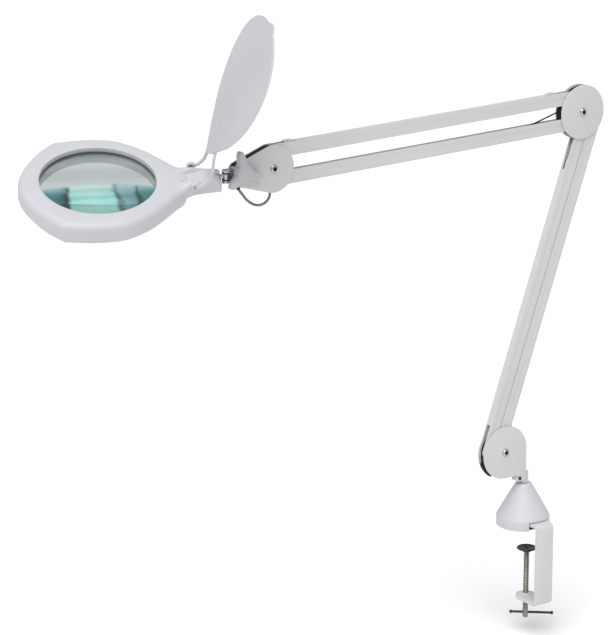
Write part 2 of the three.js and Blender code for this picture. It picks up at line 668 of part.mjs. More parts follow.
// The lower shell closes the hollow and holds the diffuser; the switch comes out of its shoulder.
const SWITCH_X = 81;
const SWITCH_RADIUS = 4;
function lowShell() {
  const skin = headLoft([
    [SHELL_LOW_Z, 3.5], [-23.4, 0.8], [-21, 0], [SHELL_SPLIT_Z - GAP, 0],
  ]);
  return cut(
    skin,
    headLoft([[SHELL_LOW_Z + 2, SHELL_WALL + 0.6], [SHELL_SPLIT_Z + 1, SHELL_WALL]]),
    roundZ(LED_OUTER + GAP, SHELL_LOW_Z - 1, -20, 0, 0, FINE),
    roundZ(SWITCH_RADIUS + GAP, SHELL_LOW_Z - 1, -20, SWITCH_X, 0),
  );
}

// The neck, with a scooped top, a bore for the stub and a pin hole on each side for the cover.
function neckBlock() {
  const shape = new THREE.Shape();
  const side = [[NECK_START, 17.2], [99, 17.2], [105, 15.2], [113, 13.4], [NECK_END, 12.5]];
  shape.setFromPoints([
    ...side.map(([x, y]) => new THREE.Vector2(x, -y)),
    ...side.reverse().map(([x, y]) => new THREE.Vector2(x, y)),
  ]);
  const scoop = new THREE.SphereGeometry(1, 16, 8).scale(10, 9.5, 3.6).translate(103, 0, NECK_TOP_Z);
  return cut(
    plateZ(shape, NECK_LOW_Z, NECK_TOP_Z, 1.6),
    scoop,
    roundX(STUB_SHAFT + GAP, NECK_END - 13, NECK_END + 1, 0, 0, 16),
    roundY(1.8 + GAP, -20, -12, COVER_PIVOT_X, COVER_PIVOT_Z, 12),
    roundY(1.8 + GAP, 12, 20, COVER_PIVOT_X, COVER_PIVOT_Z, 12),
  );
}

// One face of the lens, as [radius, height above the lens's middle plane] from edge to centre.
function lensFace(steps = 4) {
  const drop = (r) => LENS_CURVE - Math.sqrt(LENS_CURVE ** 2 - r ** 2);
  const crown = LENS_EDGE / 2 + drop(LENS_RADIUS);
  return Array.from({ length: steps + 1 }, (_, i) => {
    const r = LENS_RADIUS * (1 - i / steps);
    return [r, crown - drop(r)];
  });
}

const upperFace = lensFace();
const lowerFace = lensFace().reverse().map(([r, h]) => [r, -h]);
const lensProfile = [...lowerFace, ...upperFace].map(([r, h]) => [r, h + LENS_MID_Z]);

add('top_shell', topShell(), whitePlastic, head);
add('low_shell', lowShell(), whitePlastic, head);
add('neck_block', neckBlock(), whitePlastic, head);
add('lens', turned(lensProfile, 32), glass, head);
add('lens_retainer', ring(LENS_OPENING + GAP, LED_OUTER, -12.4, -10.4), whitePlastic, head);
add('led_board', ring(LENS_OPENING + 5, LED_OUTER, -14.3, -12.7), circuitBoard, head);

// The diffuser is a shallow trough: a flat window and a rising wall round the lens opening.
add('led_diffuser', turned([
  [LENS_OPENING + GAP, SHELL_LOW_Z],
  [LED_OUTER, SHELL_LOW_Z],
  [LED_OUTER, SHELL_LOW_Z + 1.8],
  [LENS_OPENING + 2.3, SHELL_LOW_Z + 1.8],
  [LENS_OPENING + 2.3, -12.8],
  [LENS_OPENING + GAP, -12.8],
  [LENS_OPENING + GAP, SHELL_LOW_Z],
]), diffuserPlastic, head);

// The push switch: a button with a flange that keeps it in the lower shell.
add('switch_button', joined(
  roundZ(SWITCH_RADIUS, SHELL_LOW_Z - 1.8, -21, SWITCH_X, 0),
  roundZ(SWITCH_RADIUS + 1.2, SHELL_LOW_Z + 2 + GAP, -21, SWITCH_X, 0),
), blackPlastic, head);

// ---------------------------------------------------------------- lens cover
// The cover is drawn closed, lying over the lens towards -X, then opened about its pins.
const COVER_LOW = 1; // the plate's underside, above the pin axis
const EYELET_IN = 17.6;
const EYELET_OUT = 21.4;

// A flat strip of constant width that follows a line of points.
function strip(points, width) {
  const curve = new THREE.SplineCurve(points.map(([x, y]) => new THREE.Vector2(x, y)));
  const edge = (side) =>
    curve.getPoints(8).map((p, i, all) => {
      const ahead = all[Math.min(i + 1, all.length - 1)].clone().sub(all[Math.max(i - 1, 0)]);
      const across = new THREE.Vector2(-ahead.y, ahead.x).setLength((side * width) / 2);
      return p.clone().add(across);
    });
  return new THREE.Shape([...edge(1), ...edge(-1).reverse()]);
}

function lensCover() {
  const plateTop = COVER_LOW + COVER_THICK;
  const half = [
    [-42, 0], [-43, 15], [-48, 33], [-59, 49], [-74, 61], [-92, 69.5], [-112, 74], [-132, 75],
    [-150, 71], [-166, 59.5], [-178, 42], [-185.5, 20], [-187, 0],
  ];
  const far = half.slice(1, -1).map(([x, y]) => [x, -y]).reverse();
  const rim = new THREE.CatmullRomCurve3(
    [...half, ...far].map(([x, y]) => new THREE.Vector3(x, y, 0)), true);
  const oval = new THREE.Shape(rim.getPoints(44).slice(0, 44).map((p) => new THREE.Vector2(p.x, p.y)));
  const tab = hullShape([[-186, -3.5, 5.5], [-186, 3.5, 5.5]], 24);
  const arms = [1, -1].flatMap((side) => {
    const line = [[1, 19.5], [-8, 21.4], [-20, 27], [-34, 32.5], [-52, 37]];
    const leg = strip(line.map(([x, y]) => [x, side * y]), EYELET_OUT - EYELET_IN);
    const eyelet = side > 0 ? [EYELET_IN, EYELET_OUT] : [-EYELET_OUT, -EYELET_IN];
    return [plateZ(leg, COVER_LOW, plateTop), roundY(4.6, ...eyelet, 0, 0, 24)];
  });
  const bore = roundY(1.8 + GAP, -30, 30, 0, 0, 12);
  return cut(joined(plateZ(oval, COVER_LOW, plateTop, 0.5), plateZ(tab, COVER_LOW, plateTop), ...arms), bore);
}

const coverFrame = new THREE.Group();
coverFrame.position.set(COVER_PIVOT_X, 0, COVER_PIVOT_Z);
coverFrame.rotation.y = COVER_OPEN;
head.add(coverFrame);
add('lens_cover', lensCover(), coverPlastic, coverFrame);
add('cover_pin_near', roundY(1.8, -EYELET_OUT, -12.5, COVER_PIVOT_X, COVER_PIVOT_Z, 12), steel, head);
add('cover_pin_far', roundY(1.8, 12.5, EYELET_OUT, COVER_PIVOT_X, COVER_PIVOT_Z, 12), steel, head);

export default lamp;
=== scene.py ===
# The looks of the clamp-on magnifying lamp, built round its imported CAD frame.
# Lengths are in millimetres until a mesh is made, which turns them into metres. +Z is up, the
# arm lies in the XZ plane, and the head reaches towards -X.
import json
import math

import bmesh
import bpy
from mathutils import Matrix, Vector


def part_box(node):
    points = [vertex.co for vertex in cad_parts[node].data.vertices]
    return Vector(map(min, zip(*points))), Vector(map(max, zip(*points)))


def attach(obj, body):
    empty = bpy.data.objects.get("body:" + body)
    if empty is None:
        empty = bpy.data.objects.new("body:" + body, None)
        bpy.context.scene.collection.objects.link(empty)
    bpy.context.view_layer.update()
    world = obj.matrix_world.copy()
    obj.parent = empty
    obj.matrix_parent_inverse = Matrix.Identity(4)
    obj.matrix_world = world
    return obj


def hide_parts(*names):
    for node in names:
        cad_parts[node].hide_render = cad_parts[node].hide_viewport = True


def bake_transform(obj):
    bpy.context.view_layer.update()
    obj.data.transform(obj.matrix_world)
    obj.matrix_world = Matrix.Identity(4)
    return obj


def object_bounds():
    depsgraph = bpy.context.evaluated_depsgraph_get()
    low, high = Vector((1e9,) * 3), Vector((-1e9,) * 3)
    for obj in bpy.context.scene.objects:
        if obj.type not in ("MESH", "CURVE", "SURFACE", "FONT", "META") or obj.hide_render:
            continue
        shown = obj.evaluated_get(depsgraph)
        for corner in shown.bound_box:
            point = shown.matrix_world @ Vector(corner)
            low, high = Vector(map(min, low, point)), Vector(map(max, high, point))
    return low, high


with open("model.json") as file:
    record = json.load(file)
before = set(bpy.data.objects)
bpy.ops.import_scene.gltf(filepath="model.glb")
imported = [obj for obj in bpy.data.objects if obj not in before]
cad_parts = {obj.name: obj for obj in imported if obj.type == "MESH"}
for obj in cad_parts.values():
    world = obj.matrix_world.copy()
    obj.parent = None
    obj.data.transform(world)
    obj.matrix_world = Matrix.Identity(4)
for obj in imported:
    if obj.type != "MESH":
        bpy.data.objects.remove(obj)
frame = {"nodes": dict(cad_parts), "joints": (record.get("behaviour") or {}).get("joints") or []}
cad_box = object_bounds()
joints = {j["name"]: j for j in frame["joints"]}
MM = 0.001

# ------------------------------------------------------------------ dimensions, as in the CAD
GAP = 0.3
BAR_WIDTH = 14.8
BAR_DEPTH = 8.0
BAR_WALL = 1.2
BAR_EAR = 30
HUB_RADIUS = 31
HEAD_HUB_RADIUS = 25.4
PLATE_IN = 4.3
PLATE_OUT = 5.7
LENS_OPENING = 60
LENS_RADIUS = 63.2
LENS_CURVE = 346
LENS_EDGE = 3
LENS_MID_Z = -8
LENS_LIFT = 2  # the lens sits this much higher than in the CAD
LED_OUTER = 70.5
LED_COUNT = 60
NECK_END = 127
SHELL_SPLIT_Z = -12
SHELL_LOW_Z = -25
SWITCH_X = 81


# ------------------------------------------------------------------ places, read from the frame
def joint_at(name):
    return Vector(joints[name]["pos_m"]) / MM


def centre(node):
    low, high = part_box(node)
    return (low + high) / 2 / MM


def along(name):
    return Vector(joints[name]["axis"]).normalized()


base_a = joint_at("lower_arm")
base_b = joint_at("lower_arm_parallel")
elbow_a = joint_at("elbow_level")
elbow_low = joint_at("upper_arm")
elbow_top = joint_at("upper_arm_parallel")
head_low = joint_at("head_level")
tilt_axis = joint_at("head_tilt")
swing_axis = joint_at("head_swing")
base_hub = centre("base_screw")
elbow_hub = centre("elbow_screw")
head_hub = centre("head_screw")
for hub in (base_hub, elbow_hub, head_hub):
    hub.y = 0
clamp_screw_y = centre("screw_pad").y

# In the arm's plane: local x and y lie in the plane, and local z points at the front, -Y.
IN_ARM_PLANE = Matrix(((1, 0, 0, 0), (0, 0, -1, 0), (0, 1, 0, 0), (0, 0, 0, 1)))


def arm_place(point, angle=0.0):
    return Matrix.Translation(point) @ IN_ARM_PLANE @ Matrix.Rotation(angle, 4, "Z")


def axes_place(origin, x_axis, y_axis):
    turn = Matrix((x_axis, y_axis, x_axis.cross(y_axis))).transposed()
    return Matrix.Translation(origin) @ turn.to_4x4()


head_x = along("head_roll")
head_y = along("cover_hinge")
head_z = head_x.cross(head_y)
head_place = axes_place(centre("lens") - head_z * LENS_MID_Z, head_x, head_y)
COVER_OPEN = math.radians(112)
cover_place = axes_place(joint_at("cover_hinge"), head_x, head_y) @ Matrix.Rotation(
    COVER_OPEN, 4, "Y"
)


# ------------------------------------------------------------------ materials
def material(name, colour, roughness, metallic=0.0, **sockets):
    made = bpy.data.materials.new(name)
    made.use_nodes = True
    shader = made.node_tree.nodes["Principled BSDF"]
    shader.inputs["Base Color"].default_value = (*colour, 1)
    shader.inputs["Roughness"].default_value = roughness
    shader.inputs["Metallic"].default_value = metallic
    for socket, value in sockets.items():
        shader.inputs[socket.replace("_", " ")].default_value = value
    return made


def noise_node(made, scale, detail=4.0, stretch=(1, 1, 1)):
    tree = made.node_tree
    place = tree.nodes.new("ShaderNodeTexCoord")
    mapping = tree.nodes.new("ShaderNodeMapping")
    mapping.inputs["Scale"].default_value = stretch
    pattern = tree.nodes.new("ShaderNodeTexNoise")
    pattern.inputs["Scale"].default_value = scale
    pattern.inputs["Detail"].default_value = detail
    tree.links.new(place.outputs["Object"], mapping.inputs["Vector"])
    tree.links.new(mapping.outputs["Vector"], pattern.inputs["Vector"])
    return pattern


# Tints the base colour between two shades of itself, in soft patches.
def mottle(made, scale, low, high):
    tree = made.node_tree
    shader = tree.nodes["Principled BSDF"]
    base = shader.inputs["Base Color"].default_value[:3]
    ramp = tree.nodes.new("ShaderNodeValToRGB")
    ramp.color_ramp.elements[0].position = 0.3
    ramp.color_ramp.elements[1].position = 0.7
    ramp.color_ramp.elements[0].color = (*(c * low for c in base), 1)
    ramp.color_ramp.elements[1].color = (*(min(1, c * high) for c in base), 1)
    tree.links.new(noise_node(made, scale).outputs["Fac"], ramp.inputs["Fac"])
    tree.links.new(ramp.outputs["Color"], shader.inputs["Base Color"])
    return made


# Varies the roughness between two values, as handling and brushing do.
def vary_gloss(made, scale, low, high):
    tree = made.node_tree
    spread = tree.nodes.new("ShaderNodeMapRange")
    spread.inputs["From Min"].default_value = 0.3
    spread.inputs["From Max"].default_value = 0.7
    spread.inputs["To Min"].default_value = low
    spread.inputs["To Max"].default_value = high
    tree.links.new(noise_node(made, scale, 5).outputs["Fac"], spread.inputs["Value"])
    tree.links.new(
        spread.outputs["Result"], tree.nodes["Principled BSDF"].inputs["Roughness"]
    )
    return made


def grain(made, scale, strength, depth_mm, stretch=(1, 1, 1)):
    tree = made.node_tree
    bump = tree.nodes.new("ShaderNodeBump")
    bump.inputs["Strength"].default_value = strength
    bump.inputs["Distance"].default_value = depth_mm * MM
    tree.links.new(noise_node(made, scale, 3, stretch).outputs["Fac"], bump.inputs["Height"])
    tree.links.new(
        bump.outputs["Normal"], tree.nodes["Principled BSDF"].inputs["Normal"]
    )
    return made


# Powder coat: fine orange peel, a soft clear shine and a faint unevenness of colour.
white_paint = material("white_powder_coat", (0.56, 0.563, 0.57), 0.42)
mottle(white_paint, 9, 0.975, 1.02)
vary_gloss(white_paint, 60, 0.36, 0.48)
grain(white_paint, 900, 0.18, 0.05)

# Moulded housing plastic, a little lilac, with a fine spark-eroded texture.
white_plastic = material("white_housing_plastic", (0.53, 0.53, 0.56), 0.47)
mottle(white_plastic, 14, 0.975, 1.02)
vary_gloss(white_plastic, 80, 0.42, 0.54)
grain(white_plastic, 1500, 0.12, 0.04)

cover_plastic = material("cover_plastic", (0.54, 0.545, 0.57), 0.44)
mottle(cover_plastic, 12, 0.98, 1.02)
vary_gloss(cover_plastic, 50, 0.34, 0.46)
grain(cover_plastic, 1300, 0.1, 0.04)

knob_plastic = material("knob_plastic", (0.50, 0.50, 0.515), 0.38)
mottle(knob_plastic, 40, 0.97, 1.02)
vary_gloss(knob_plastic, 120, 0.3, 0.42)
grain(knob_plastic, 1400, 0.1, 0.04)

black_plastic = material("black_nylon", (0.008, 0.008, 0.009), 0.6, Specular_IOR_Level=0.2)
mottle(black_plastic, 60, 0.8, 1.3)
vary_gloss(black_plastic, 90, 0.55, 0.75)
grain(black_plastic, 1200, 0.2, 0.05)

rubber = material("black_rubber", (0.018, 0.018, 0.018), 0.8)
mottle(rubber, 50, 0.8, 1.3)
vary_gloss(rubber, 70, 0.7, 0.9)
grain(rubber, 700, 0.4, 0.15)

chrome = material("polished_chrome", (0.5, 0.51, 0.53), 0.1, 1.0)
mottle(chrome, 200, 0.95, 1.02)
vary_gloss(chrome, 300, 0.05, 0.14)
grain(chrome, 500, 0.04, 0.03)

steel = material("zinc_plated_steel", (0.32, 0.325, 0.33), 0.3, 1.0)
mottle(steel, 120, 0.85, 1.1)
vary_gloss(steel, 260, 0.24, 0.42)
grain(steel, 900, 0.08, 0.03)

spring_steel = material("bright_spring_steel", (0.8, 0.8, 0.8), 0.2, 1.0)
mottle(spring_steel, 150, 0.85, 1.05)
vary_gloss(spring_steel, 220, 0.14, 0.3)
grain(spring_steel, 800, 0.06, 0.03)

dark_steel = material("blackened_steel", (0.05, 0.045, 0.04), 0.32, 1.0)
mottle(dark_steel, 130, 0.7, 1.25)
vary_gloss(dark_steel, 240, 0.22, 0.42)
grain(dark_steel, 700, 0.12, 0.04)

bright_steel = material("bright_screw_steel", (0.27, 0.25, 0.22), 0.24, 1.0)
mottle(bright_steel, 150, 0.75, 1.15)
vary_gloss(bright_steel, 220, 0.16, 0.34)
grain(bright_steel, 800, 0.1, 0.03)

brass = material("turned_brass", (0.62, 0.44, 0.18), 0.3, 1.0)
mottle(brass, 90, 0.9, 1.08)
vary_gloss(brass, 200, 0.22, 0.4)
grain(brass, 900, 0.08, 0.03, (1, 1, 12))

cable = material("grey_cable", (0.17, 0.175, 0.18), 0.5)
mottle(cable, 90, 0.85, 1.2)
vary_gloss(cable, 140, 0.42, 0.6)
grain(cable, 900, 0.15, 0.05)

board = material("circuit_board", (0.78, 0.81, 0.78), 0.5)
mottle(board, 60, 0.95, 1.02)
vary_gloss(board, 90, 0.42, 0.58)
grain(board, 800, 0.1, 0.04)

diffuser = material(
    "opal_diffuser", (0.86, 0.89, 0.87), 0.5, Subsurface_Weight=0.25, Subsurface_Scale=0.002
)
mottle(diffuser, 30, 0.98, 1.01)
vary_gloss(diffuser, 90, 0.42, 0.56)
grain(diffuser, 1400, 0.1, 0.04)

led_yellow = material("led_phosphor", (0.9, 0.75, 0.25), 0.35)
mottle(led_yellow, 800, 0.92, 1.05)
vary_gloss(led_yellow, 400, 0.28, 0.42)
grain(led_yellow, 2000, 0.1, 0.02)


# A colour ramp with its stops given as {position: colour}.
def colour_stops(made, stops, driver):
    tree = made.node_tree
    node = tree.nodes.new("ShaderNodeValToRGB")
    marks = node.color_ramp.elements
    while len(marks) < len(stops):
        marks.new(0.5)
    for mark, (position, colour) in zip(marks, stops.items()):
        mark.position = position
        mark.color = (*colour, 1)
    tree.links.new(driver, node.inputs["Fac"])
    return node.outputs["Color"]


# Two colours combined, with the second one's share a number or another output.
def mixed(made, how, share, first, second):
    tree = made.node_tree
    node = tree.nodes.new("ShaderNodeMix")
    node.data_type = "RGBA"
    node.blend_type = how
    if isinstance(share, float):
        node.inputs["Factor"].default_value = share
    else:
        tree.links.new(share, node.inputs["Factor"])
    tree.links.new(first, node.inputs[6])
    tree.links.new(second, node.inputs[7])
    return node.outputs[2]


# A coordinate in the head's own frame, spread over the lens from 0 to 1.
def lens_coordinate(made, vector, axis):
    tree = made.node_tree
    split = tree.nodes.new("ShaderNodeSeparateXYZ")
    spread = tree.nodes.new("ShaderNodeMapRange")
    spread.inputs["From Min"].default_value = -LENS_RADIUS * MM
    spread.inputs["From Max"].default_value = LENS_RADIUS * MM
    tree.links.new(vector, split.inputs["Vector"])
    tree.links.new(split.outputs[axis], spread.inputs["Value"])
    return spread.outputs["Result"]


# Tinted glass with refraction and reflection painted into its colour. The rear half is smoke grey
# with painted bands of reflection, and the front half has the ring's mint light painted on as soft
# facets of refraction, with painted dark wedges and a painted highlight strip.
def lens_glass_painted_refraction():
    made = material("lens_glass_painted_refraction", (0.62, 0.68, 0.68), 0.02, Transmission_Weight=1.0, IOR=1.2,
                    Coat_Weight=1.0, Coat_Roughness=0.03)
    grain(made, 60, 0.01, 0.02)
    tree = made.node_tree
    place = tree.nodes.new("ShaderNodeTexCoord")
    waver = noise_node(made, 30, 2)
    shift = tree.nodes.new("ShaderNodeVectorMath")
    shift.operation = "MULTIPLY_ADD"
    shift.inputs[1].default_value = (0.028, 0.008, 0)
    tree.links.new(waver.outputs["Color"], shift.inputs[0])
    tree.links.new(place.outputs["Object"], shift.inputs[2])
    moved = shift.outputs["Vector"]
    # Painted refraction across the lens: mint facets between painted dark wedges.
    across = colour_stops(made, {
        0.0: (0.05, 0.2, 0.22), 0.2: (0.09, 0.33, 0.35), 0.3: (0.05, 0.2, 0.22),
        0.345: (0.004, 0.012, 0.012), 0.375: (0.46, 0.96, 0.85), 0.56: (0.56, 1, 0.92),
        0.72: (0.43, 0.92, 0.82), 0.75: (0.06, 0.16, 0.17), 0.79: (0.25, 0.5, 0.52),
        0.9: (0.2, 0.42, 0.44), 0.94: (0.01, 0.03, 0.03), 0.97: (0.1, 0.3, 0.3),
    }, lens_coordinate(made, moved, "X"))
    along_lens = lens_coordinate(made, moved, "Y")
    # Painted shade bands and a painted highlight strip along the lens.
    painted_highlight_and_shade = colour_stops(made, {
        0.0: (1, 1, 1), 0.26: (1, 1, 1), 0.3: (0.5, 0.56, 0.58), 0.4: (0.6, 0.64, 0.66),
        0.43: (0.9, 0.95, 0.95),
    }, along_lens)
    front = colour_stops(made, {0.44: (1, 1, 1), 0.48: (0, 0, 0)}, along_lens)
    # The rear half's smoke grey tint, with painted bands of reflection.
    smoke_tint_and_painted_reflection = colour_stops(made, {
        0.5: (0.52, 0.58, 0.58), 0.62: (0.4, 0.45, 0.45), 0.8: (0.56, 0.6, 0.6),
        0.95: (0.34, 0.39, 0.39),
    }, lens_coordinate(made, place.outputs["Object"], "Y"))
    painted_refraction = mixed(made, "MULTIPLY", 1.0, across, painted_highlight_and_shade)
    tint_and_painted_refraction = mixed(made, "MIX", front, smoke_tint_and_painted_reflection, painted_refraction)
    tree.links.new(tint_and_painted_refraction, tree.nodes["Principled BSDF"].inputs["Base Color"])
    return made


glass = lens_glass_painted_refraction()


# ------------------------------------------------------------------ mesh helpers
# A mesh from points in millimetres, placed by a matrix whose own translation is in millimetres.
def mesh_from(name, points, faces, place=None):
    place = place or Matrix()
    mesh = bpy.data.meshes.new(name)
    mesh.from_pydata([(place @ Vector(p)) * MM for p in points], [], faces)
    mesh.validate()
    shape = bmesh.new()
    shape.from_mesh(mesh)
    bmesh.ops.remove_doubles(shape, verts=shape.verts, dist=1e-7)
    bmesh.ops.recalc_face_normals(shape, faces=shape.faces)
    shape.to_mesh(mesh)
    shape.free()
    made = bpy.data.objects.new(name, mesh)
    bpy.context.scene.collection.objects.link(made)
    return made


def apply_modifiers(made):
    graph = bpy.context.evaluated_depsgraph_get()
    mesh = bpy.data.meshes.new_from_object(made.evaluated_get(graph))
    made.modifiers.clear()
    made.data = mesh
    return made


# Rounds every edge sharper than an angle.
def ease_edges(made, width, segments=3, sharper_than=30):
    bevel = made.modifiers.new("ease", "BEVEL")
    bevel.width = width * MM
    bevel.segments = segments
    bevel.limit_method = "ANGLE"
    bevel.angle_limit = math.radians(sharper_than)
    bevel.use_clamp_overlap = True
    return apply_modifiers(made)


def boolean(made, tools, operation="DIFFERENCE"):
    for tool in tools:
        step = made.modifiers.new("cut", "BOOLEAN")
        step.operation = operation
        step.solver = "EXACT"
        step.object = tool
    apply_modifiers(made)
    for tool in tools:
        bpy.data.objects.remove(tool)
    return made


# Makes a finished piece of a mesh: its material, its body, and the CAD nodes it stands for.
def piece(made, body, slot, finish, *cad_nodes, flat_beyond=32):
    made.data.materials.clear()
    made.data.materials.append(finish)
    made.data.polygons.foreach_set("use_smooth", [True] * len(made.data.polygons))
    made.data.set_sharp_from_angle(angle=math.radians(flat_beyond))
    if body:
        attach(made, body)
    if cad_nodes:
        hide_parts(*cad_nodes)
    return made


def circle(radius, count=72, middle=(0, 0)):
    turns = [2 * math.pi * i / count for i in range(count)]
    return [
        (middle[0] + radius * math.cos(a), middle[1] + radius * math.sin(a)) for a in turns
    ]


# An outline given thickness along local z.
def prism(name, outline, low, high, place=None):
    count = len(outline)
    points = [(x, y, z) for z in (low, high) for x, y in outline]
    faces = [tuple(range(count))[::-1], tuple(range(count, 2 * count))]
    for i in range(count):
        after = (i + 1) % count
        faces.append((i, after, count + after, count + i))
    return mesh_from(name, points, faces, place)


def box(name, x, y, z, place=None):
    outline = [(x[0], y[0]), (x[1], y[0]), (x[1], y[1]), (x[0], y[1])]
    return prism(name, outline, z[0], z[1], place)


# Faces between rings of points, each ring with the same count. A closed stack joins its ends.
def grid_faces(rings, count, closed=True):
    faces = []
    for level in range(rings if closed else rings - 1):
        low = level * count
        high = ((level + 1) % rings) * count
        for i in range(count):
            after = (i + 1) % count
            faces.append((low + i, low + after, high + after, high + i))
    return faces


# A closed or axis-to-axis profile of (radius, z) turned about local z.
def lathe(name, profile, place=None, count=72):
    closed = profile[0] == profile[-1]
    rings = profile[:-1] if closed else profile
    points = []
    for radius, z in rings:
        points += [(x, y, z) for x, y in circle(radius, count)]
    return mesh_from(name, points, grid_faces(len(rings), count, closed), place)


# The outline drawn tightly round circles of (x, y, radius).
def hull(circles, count=64):
    cloud = [p for x, y, r in circles for p in circle(r, count, (x, y))]
    cloud.sort()

    def half(points):
        chain = []
        for p in points:
            while len(chain) > 1:
                (ax, ay), (bx, by) = chain[-2], chain[-1]
                if (bx - ax) * (p[1] - ay) - (by - ay) * (p[0] - ax) > 1e-9:
                    break
                chain.pop()
            chain.append(p)
        return chain[:-1]

    return half(cloud) + half(cloud[::-1])


# A point between p1 and p2 on the smooth curve through four points.
def between(p0, p1, p2, p3, t):
    p = 2 * p1 + (p2 - p0) * t + (2 * p0 - 5 * p1 + 4 * p2 - p3) * t * t
    p += (3 * p1 - p0 - 3 * p2 + p3) * t * t * t
    return p / 2


# A smooth closed curve through points, with the same number of steps between each two.
def smooth_loop(points, steps=8):
    count = len(points)
    out = []
    for i in range(count):
        p0, p1, p2, p3 = (Vector(points[(i + k) % count]) for k in (-1, 0, 1, 2))
        out += [tuple(between(p0, p1, p2, p3, s / steps)) for s in range(steps)]
    return out


# The same for an open curve, which ends at its last point.
def smooth_line(points, steps=8):
    first = Vector(points[0]) * 2 - Vector(points[1])
    last = Vector(points[-1]) * 2 - Vector(points[-2])
    run = [first, *map(Vector, points), last]
    out = []
    for i in range(1, len(run) - 2):
        p0, p1, p2, p3 = run[i - 1 : i + 3]
        out += [between(p0, p1, p2, p3, s / steps) for s in range(steps)]
    return [*out, run[-2]]


# A round tube along a line of points.
def tube(name, line, radius, sides, place=None):
    line = [Vector(p) for p in line]
    points = []
    across = None
    for i, p in enumerate(line):
        ahead = (line[min(i + 1, len(line) - 1)] - line[max(i - 1, 0)]).normalized()
        if across is None:
            across = ahead.orthogonal().normalized()
        across = (across - ahead * across.dot(ahead)).normalized()
        up = ahead.cross(across)
        for x, y in circle(radius, sides):
            points.append(p + across * x + up * y)
    faces = grid_faces(len(line), sides, closed=False)
    end = (len(line) - 1) * sides
    faces.append(tuple(range(sides))[::-1])
    faces.append(tuple(range(end, end + sides)))
    return mesh_from(name, points, faces, place)


# ------------------------------------------------------------------ clamp
def clamp_frame():
    low, high = (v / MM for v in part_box("clamp_frame"))
    back, boss_top, jaw_low = low.y, high.z, low.z
    thick, bend, leg_top, leg_low = 4.5, 6.5, 10.2, 6.2
    end = high.y + 2
    inner = back + thick

    def corner(cx, cz, radius, start, steps=8):
        turns = [math.radians(start + 90 * i / steps) for i in range(steps + 1)]
        return [(cx + radius * math.cos(a), cz + radius * math.sin(a)) for a in turns]

    outline = [(end, leg_top)]
    outline += corner(back + bend, leg_top - bend, bend, 90)
    outline += corner(back + bend, jaw_low + bend, bend, 180)
    outline += [(end, jaw_low), (end, jaw_low + thick)]
    bottom_in = corner(inner + 2, jaw_low + thick + 2, 2, 180, 4)
    top_in = corner(inner + 2, leg_low - 2, 2, 90, 4)
    outline += bottom_in[::-1] + top_in[::-1]
    outline += [(end, leg_low)]
    across = Matrix(((0, 0, 1, 0), (1, 0, 0, 0), (0, 1, 0, 0), (0, 0, 0, 1)))
    half = high.x
    strap = prism("clamp_strap", outline, -half, half, across)

    def rounded_leg(end_y, z_low, z_high):
        tip = [(x, y + end_y) for x, y in circle(half, 96) if y >= -1e-6]
        return prism("leg", [(-half, back - 2), (half, back - 2), *tip], z_low, z_high)

    legs = rounded_leg(0, -20, leg_top + 2)
    boolean(legs, [rounded_leg(clamp_screw_y, jaw_low - 2, -19)], "UNION")
    boolean(strap, [legs], "INTERSECT")
    ease_edges(strap, 0.9, 3, 40)
    screw_hole = prism("hole", circle(3.5, 40, (0, clamp_screw_y)), jaw_low - 1, jaw_low + 9)
    post_hole = prism("hole", circle(6.3, 40), leg_low - 1, leg_top + 1)
    boolean(strap, [screw_hole, post_hole])
    boss_profile = [
        (6.3, leg_top), (11, leg_top), (9.6, leg_top + 1.5), (9, leg_top + 4),
        (9, boss_top - 0.6), (8.4, boss_top), (6.3, boss_top), (6.3, leg_top),
    ]
    boss = lathe("clamp_boss", boss_profile)
    piece(strap, "clamp", "white_paint", white_paint, "clamp_frame")
    piece(boss, "clamp", "white_paint", white_paint)
    # A pressed collar round the screw's hole, under the jaw.
    collar_profile = [
        (3.6, jaw_low + thick), (6.4, jaw_low + thick), (6, jaw_low + thick + 1.6),
        (4.6, jaw_low + thick + 2.2), (3.6, jaw_low + thick + 2.2), (3.6, jaw_low + thick),
    ]
    collar = lathe("jaw_collar", collar_profile, Matrix.Translation((0, clamp_screw_y, 0)))
    piece(collar, "clamp", "white_paint", white_paint)


# A threaded rod: the radius follows the thread as the surface goes round and up.
def thread(name, radius, depth, pitch, low, high, place):
    sides, per_turn = 28, 8
    rings = int((high - low) / pitch * per_turn)
    points = []
    for k in range(rings + 1):
        z = low + (high - low) * k / rings
        fade = min(1, (z - low) / pitch, (high - z) / pitch)
        for i in range(sides):
            a = 2 * math.pi * i / sides
            phase = (z / pitch - i / sides) % 1
            tooth = max(0, min(1, 2.4 - 6 * abs(phase - 0.5)))
            r = radius - depth + depth * tooth * fade
            points.append((r * math.cos(a), r * math.sin(a), z))
    faces = [tuple(range(sides))[::-1], tuple(range(rings * sides, (rings + 1) * sides))]
    faces += grid_faces(rings + 1, sides, closed=False)
    return mesh_from(name, points, faces, place)


def clamp_screw():
    low, high = (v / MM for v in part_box("clamp_screw"))
    place = Matrix.Translation((0, clamp_screw_y, 0))
    cross = centre("tommy_bar").z
    plain_top = cross + 6
    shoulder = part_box("screw_pad")[0].z / MM - GAP
    rod = thread("clamp_screw_thread", 3.2, 0.55, 2, plain_top, shoulder, place)
    piece(rod, "clamp_screw", "dark_steel", bright_steel, "clamp_screw", flat_beyond=60)
    head_profile = [
        (0, low.z), (2.6, low.z), (3.2, low.z + 0.7), (3.2, plain_top - 0.5),
        (2.7, plain_top), (0, plain_top),
    ]
    piece(lathe("clamp_screw_head", head_profile, place), "clamp_screw", "dark_steel", bright_steel)
    tip_profile = [
        (0, shoulder - 1), (1.8, shoulder - 1), (1.8, high.z - 0.3), (1.5, high.z), (0, high.z),
    ]
    piece(lathe("clamp_screw_tip", tip_profile, place), "clamp_screw", "dark_steel", bright_steel)


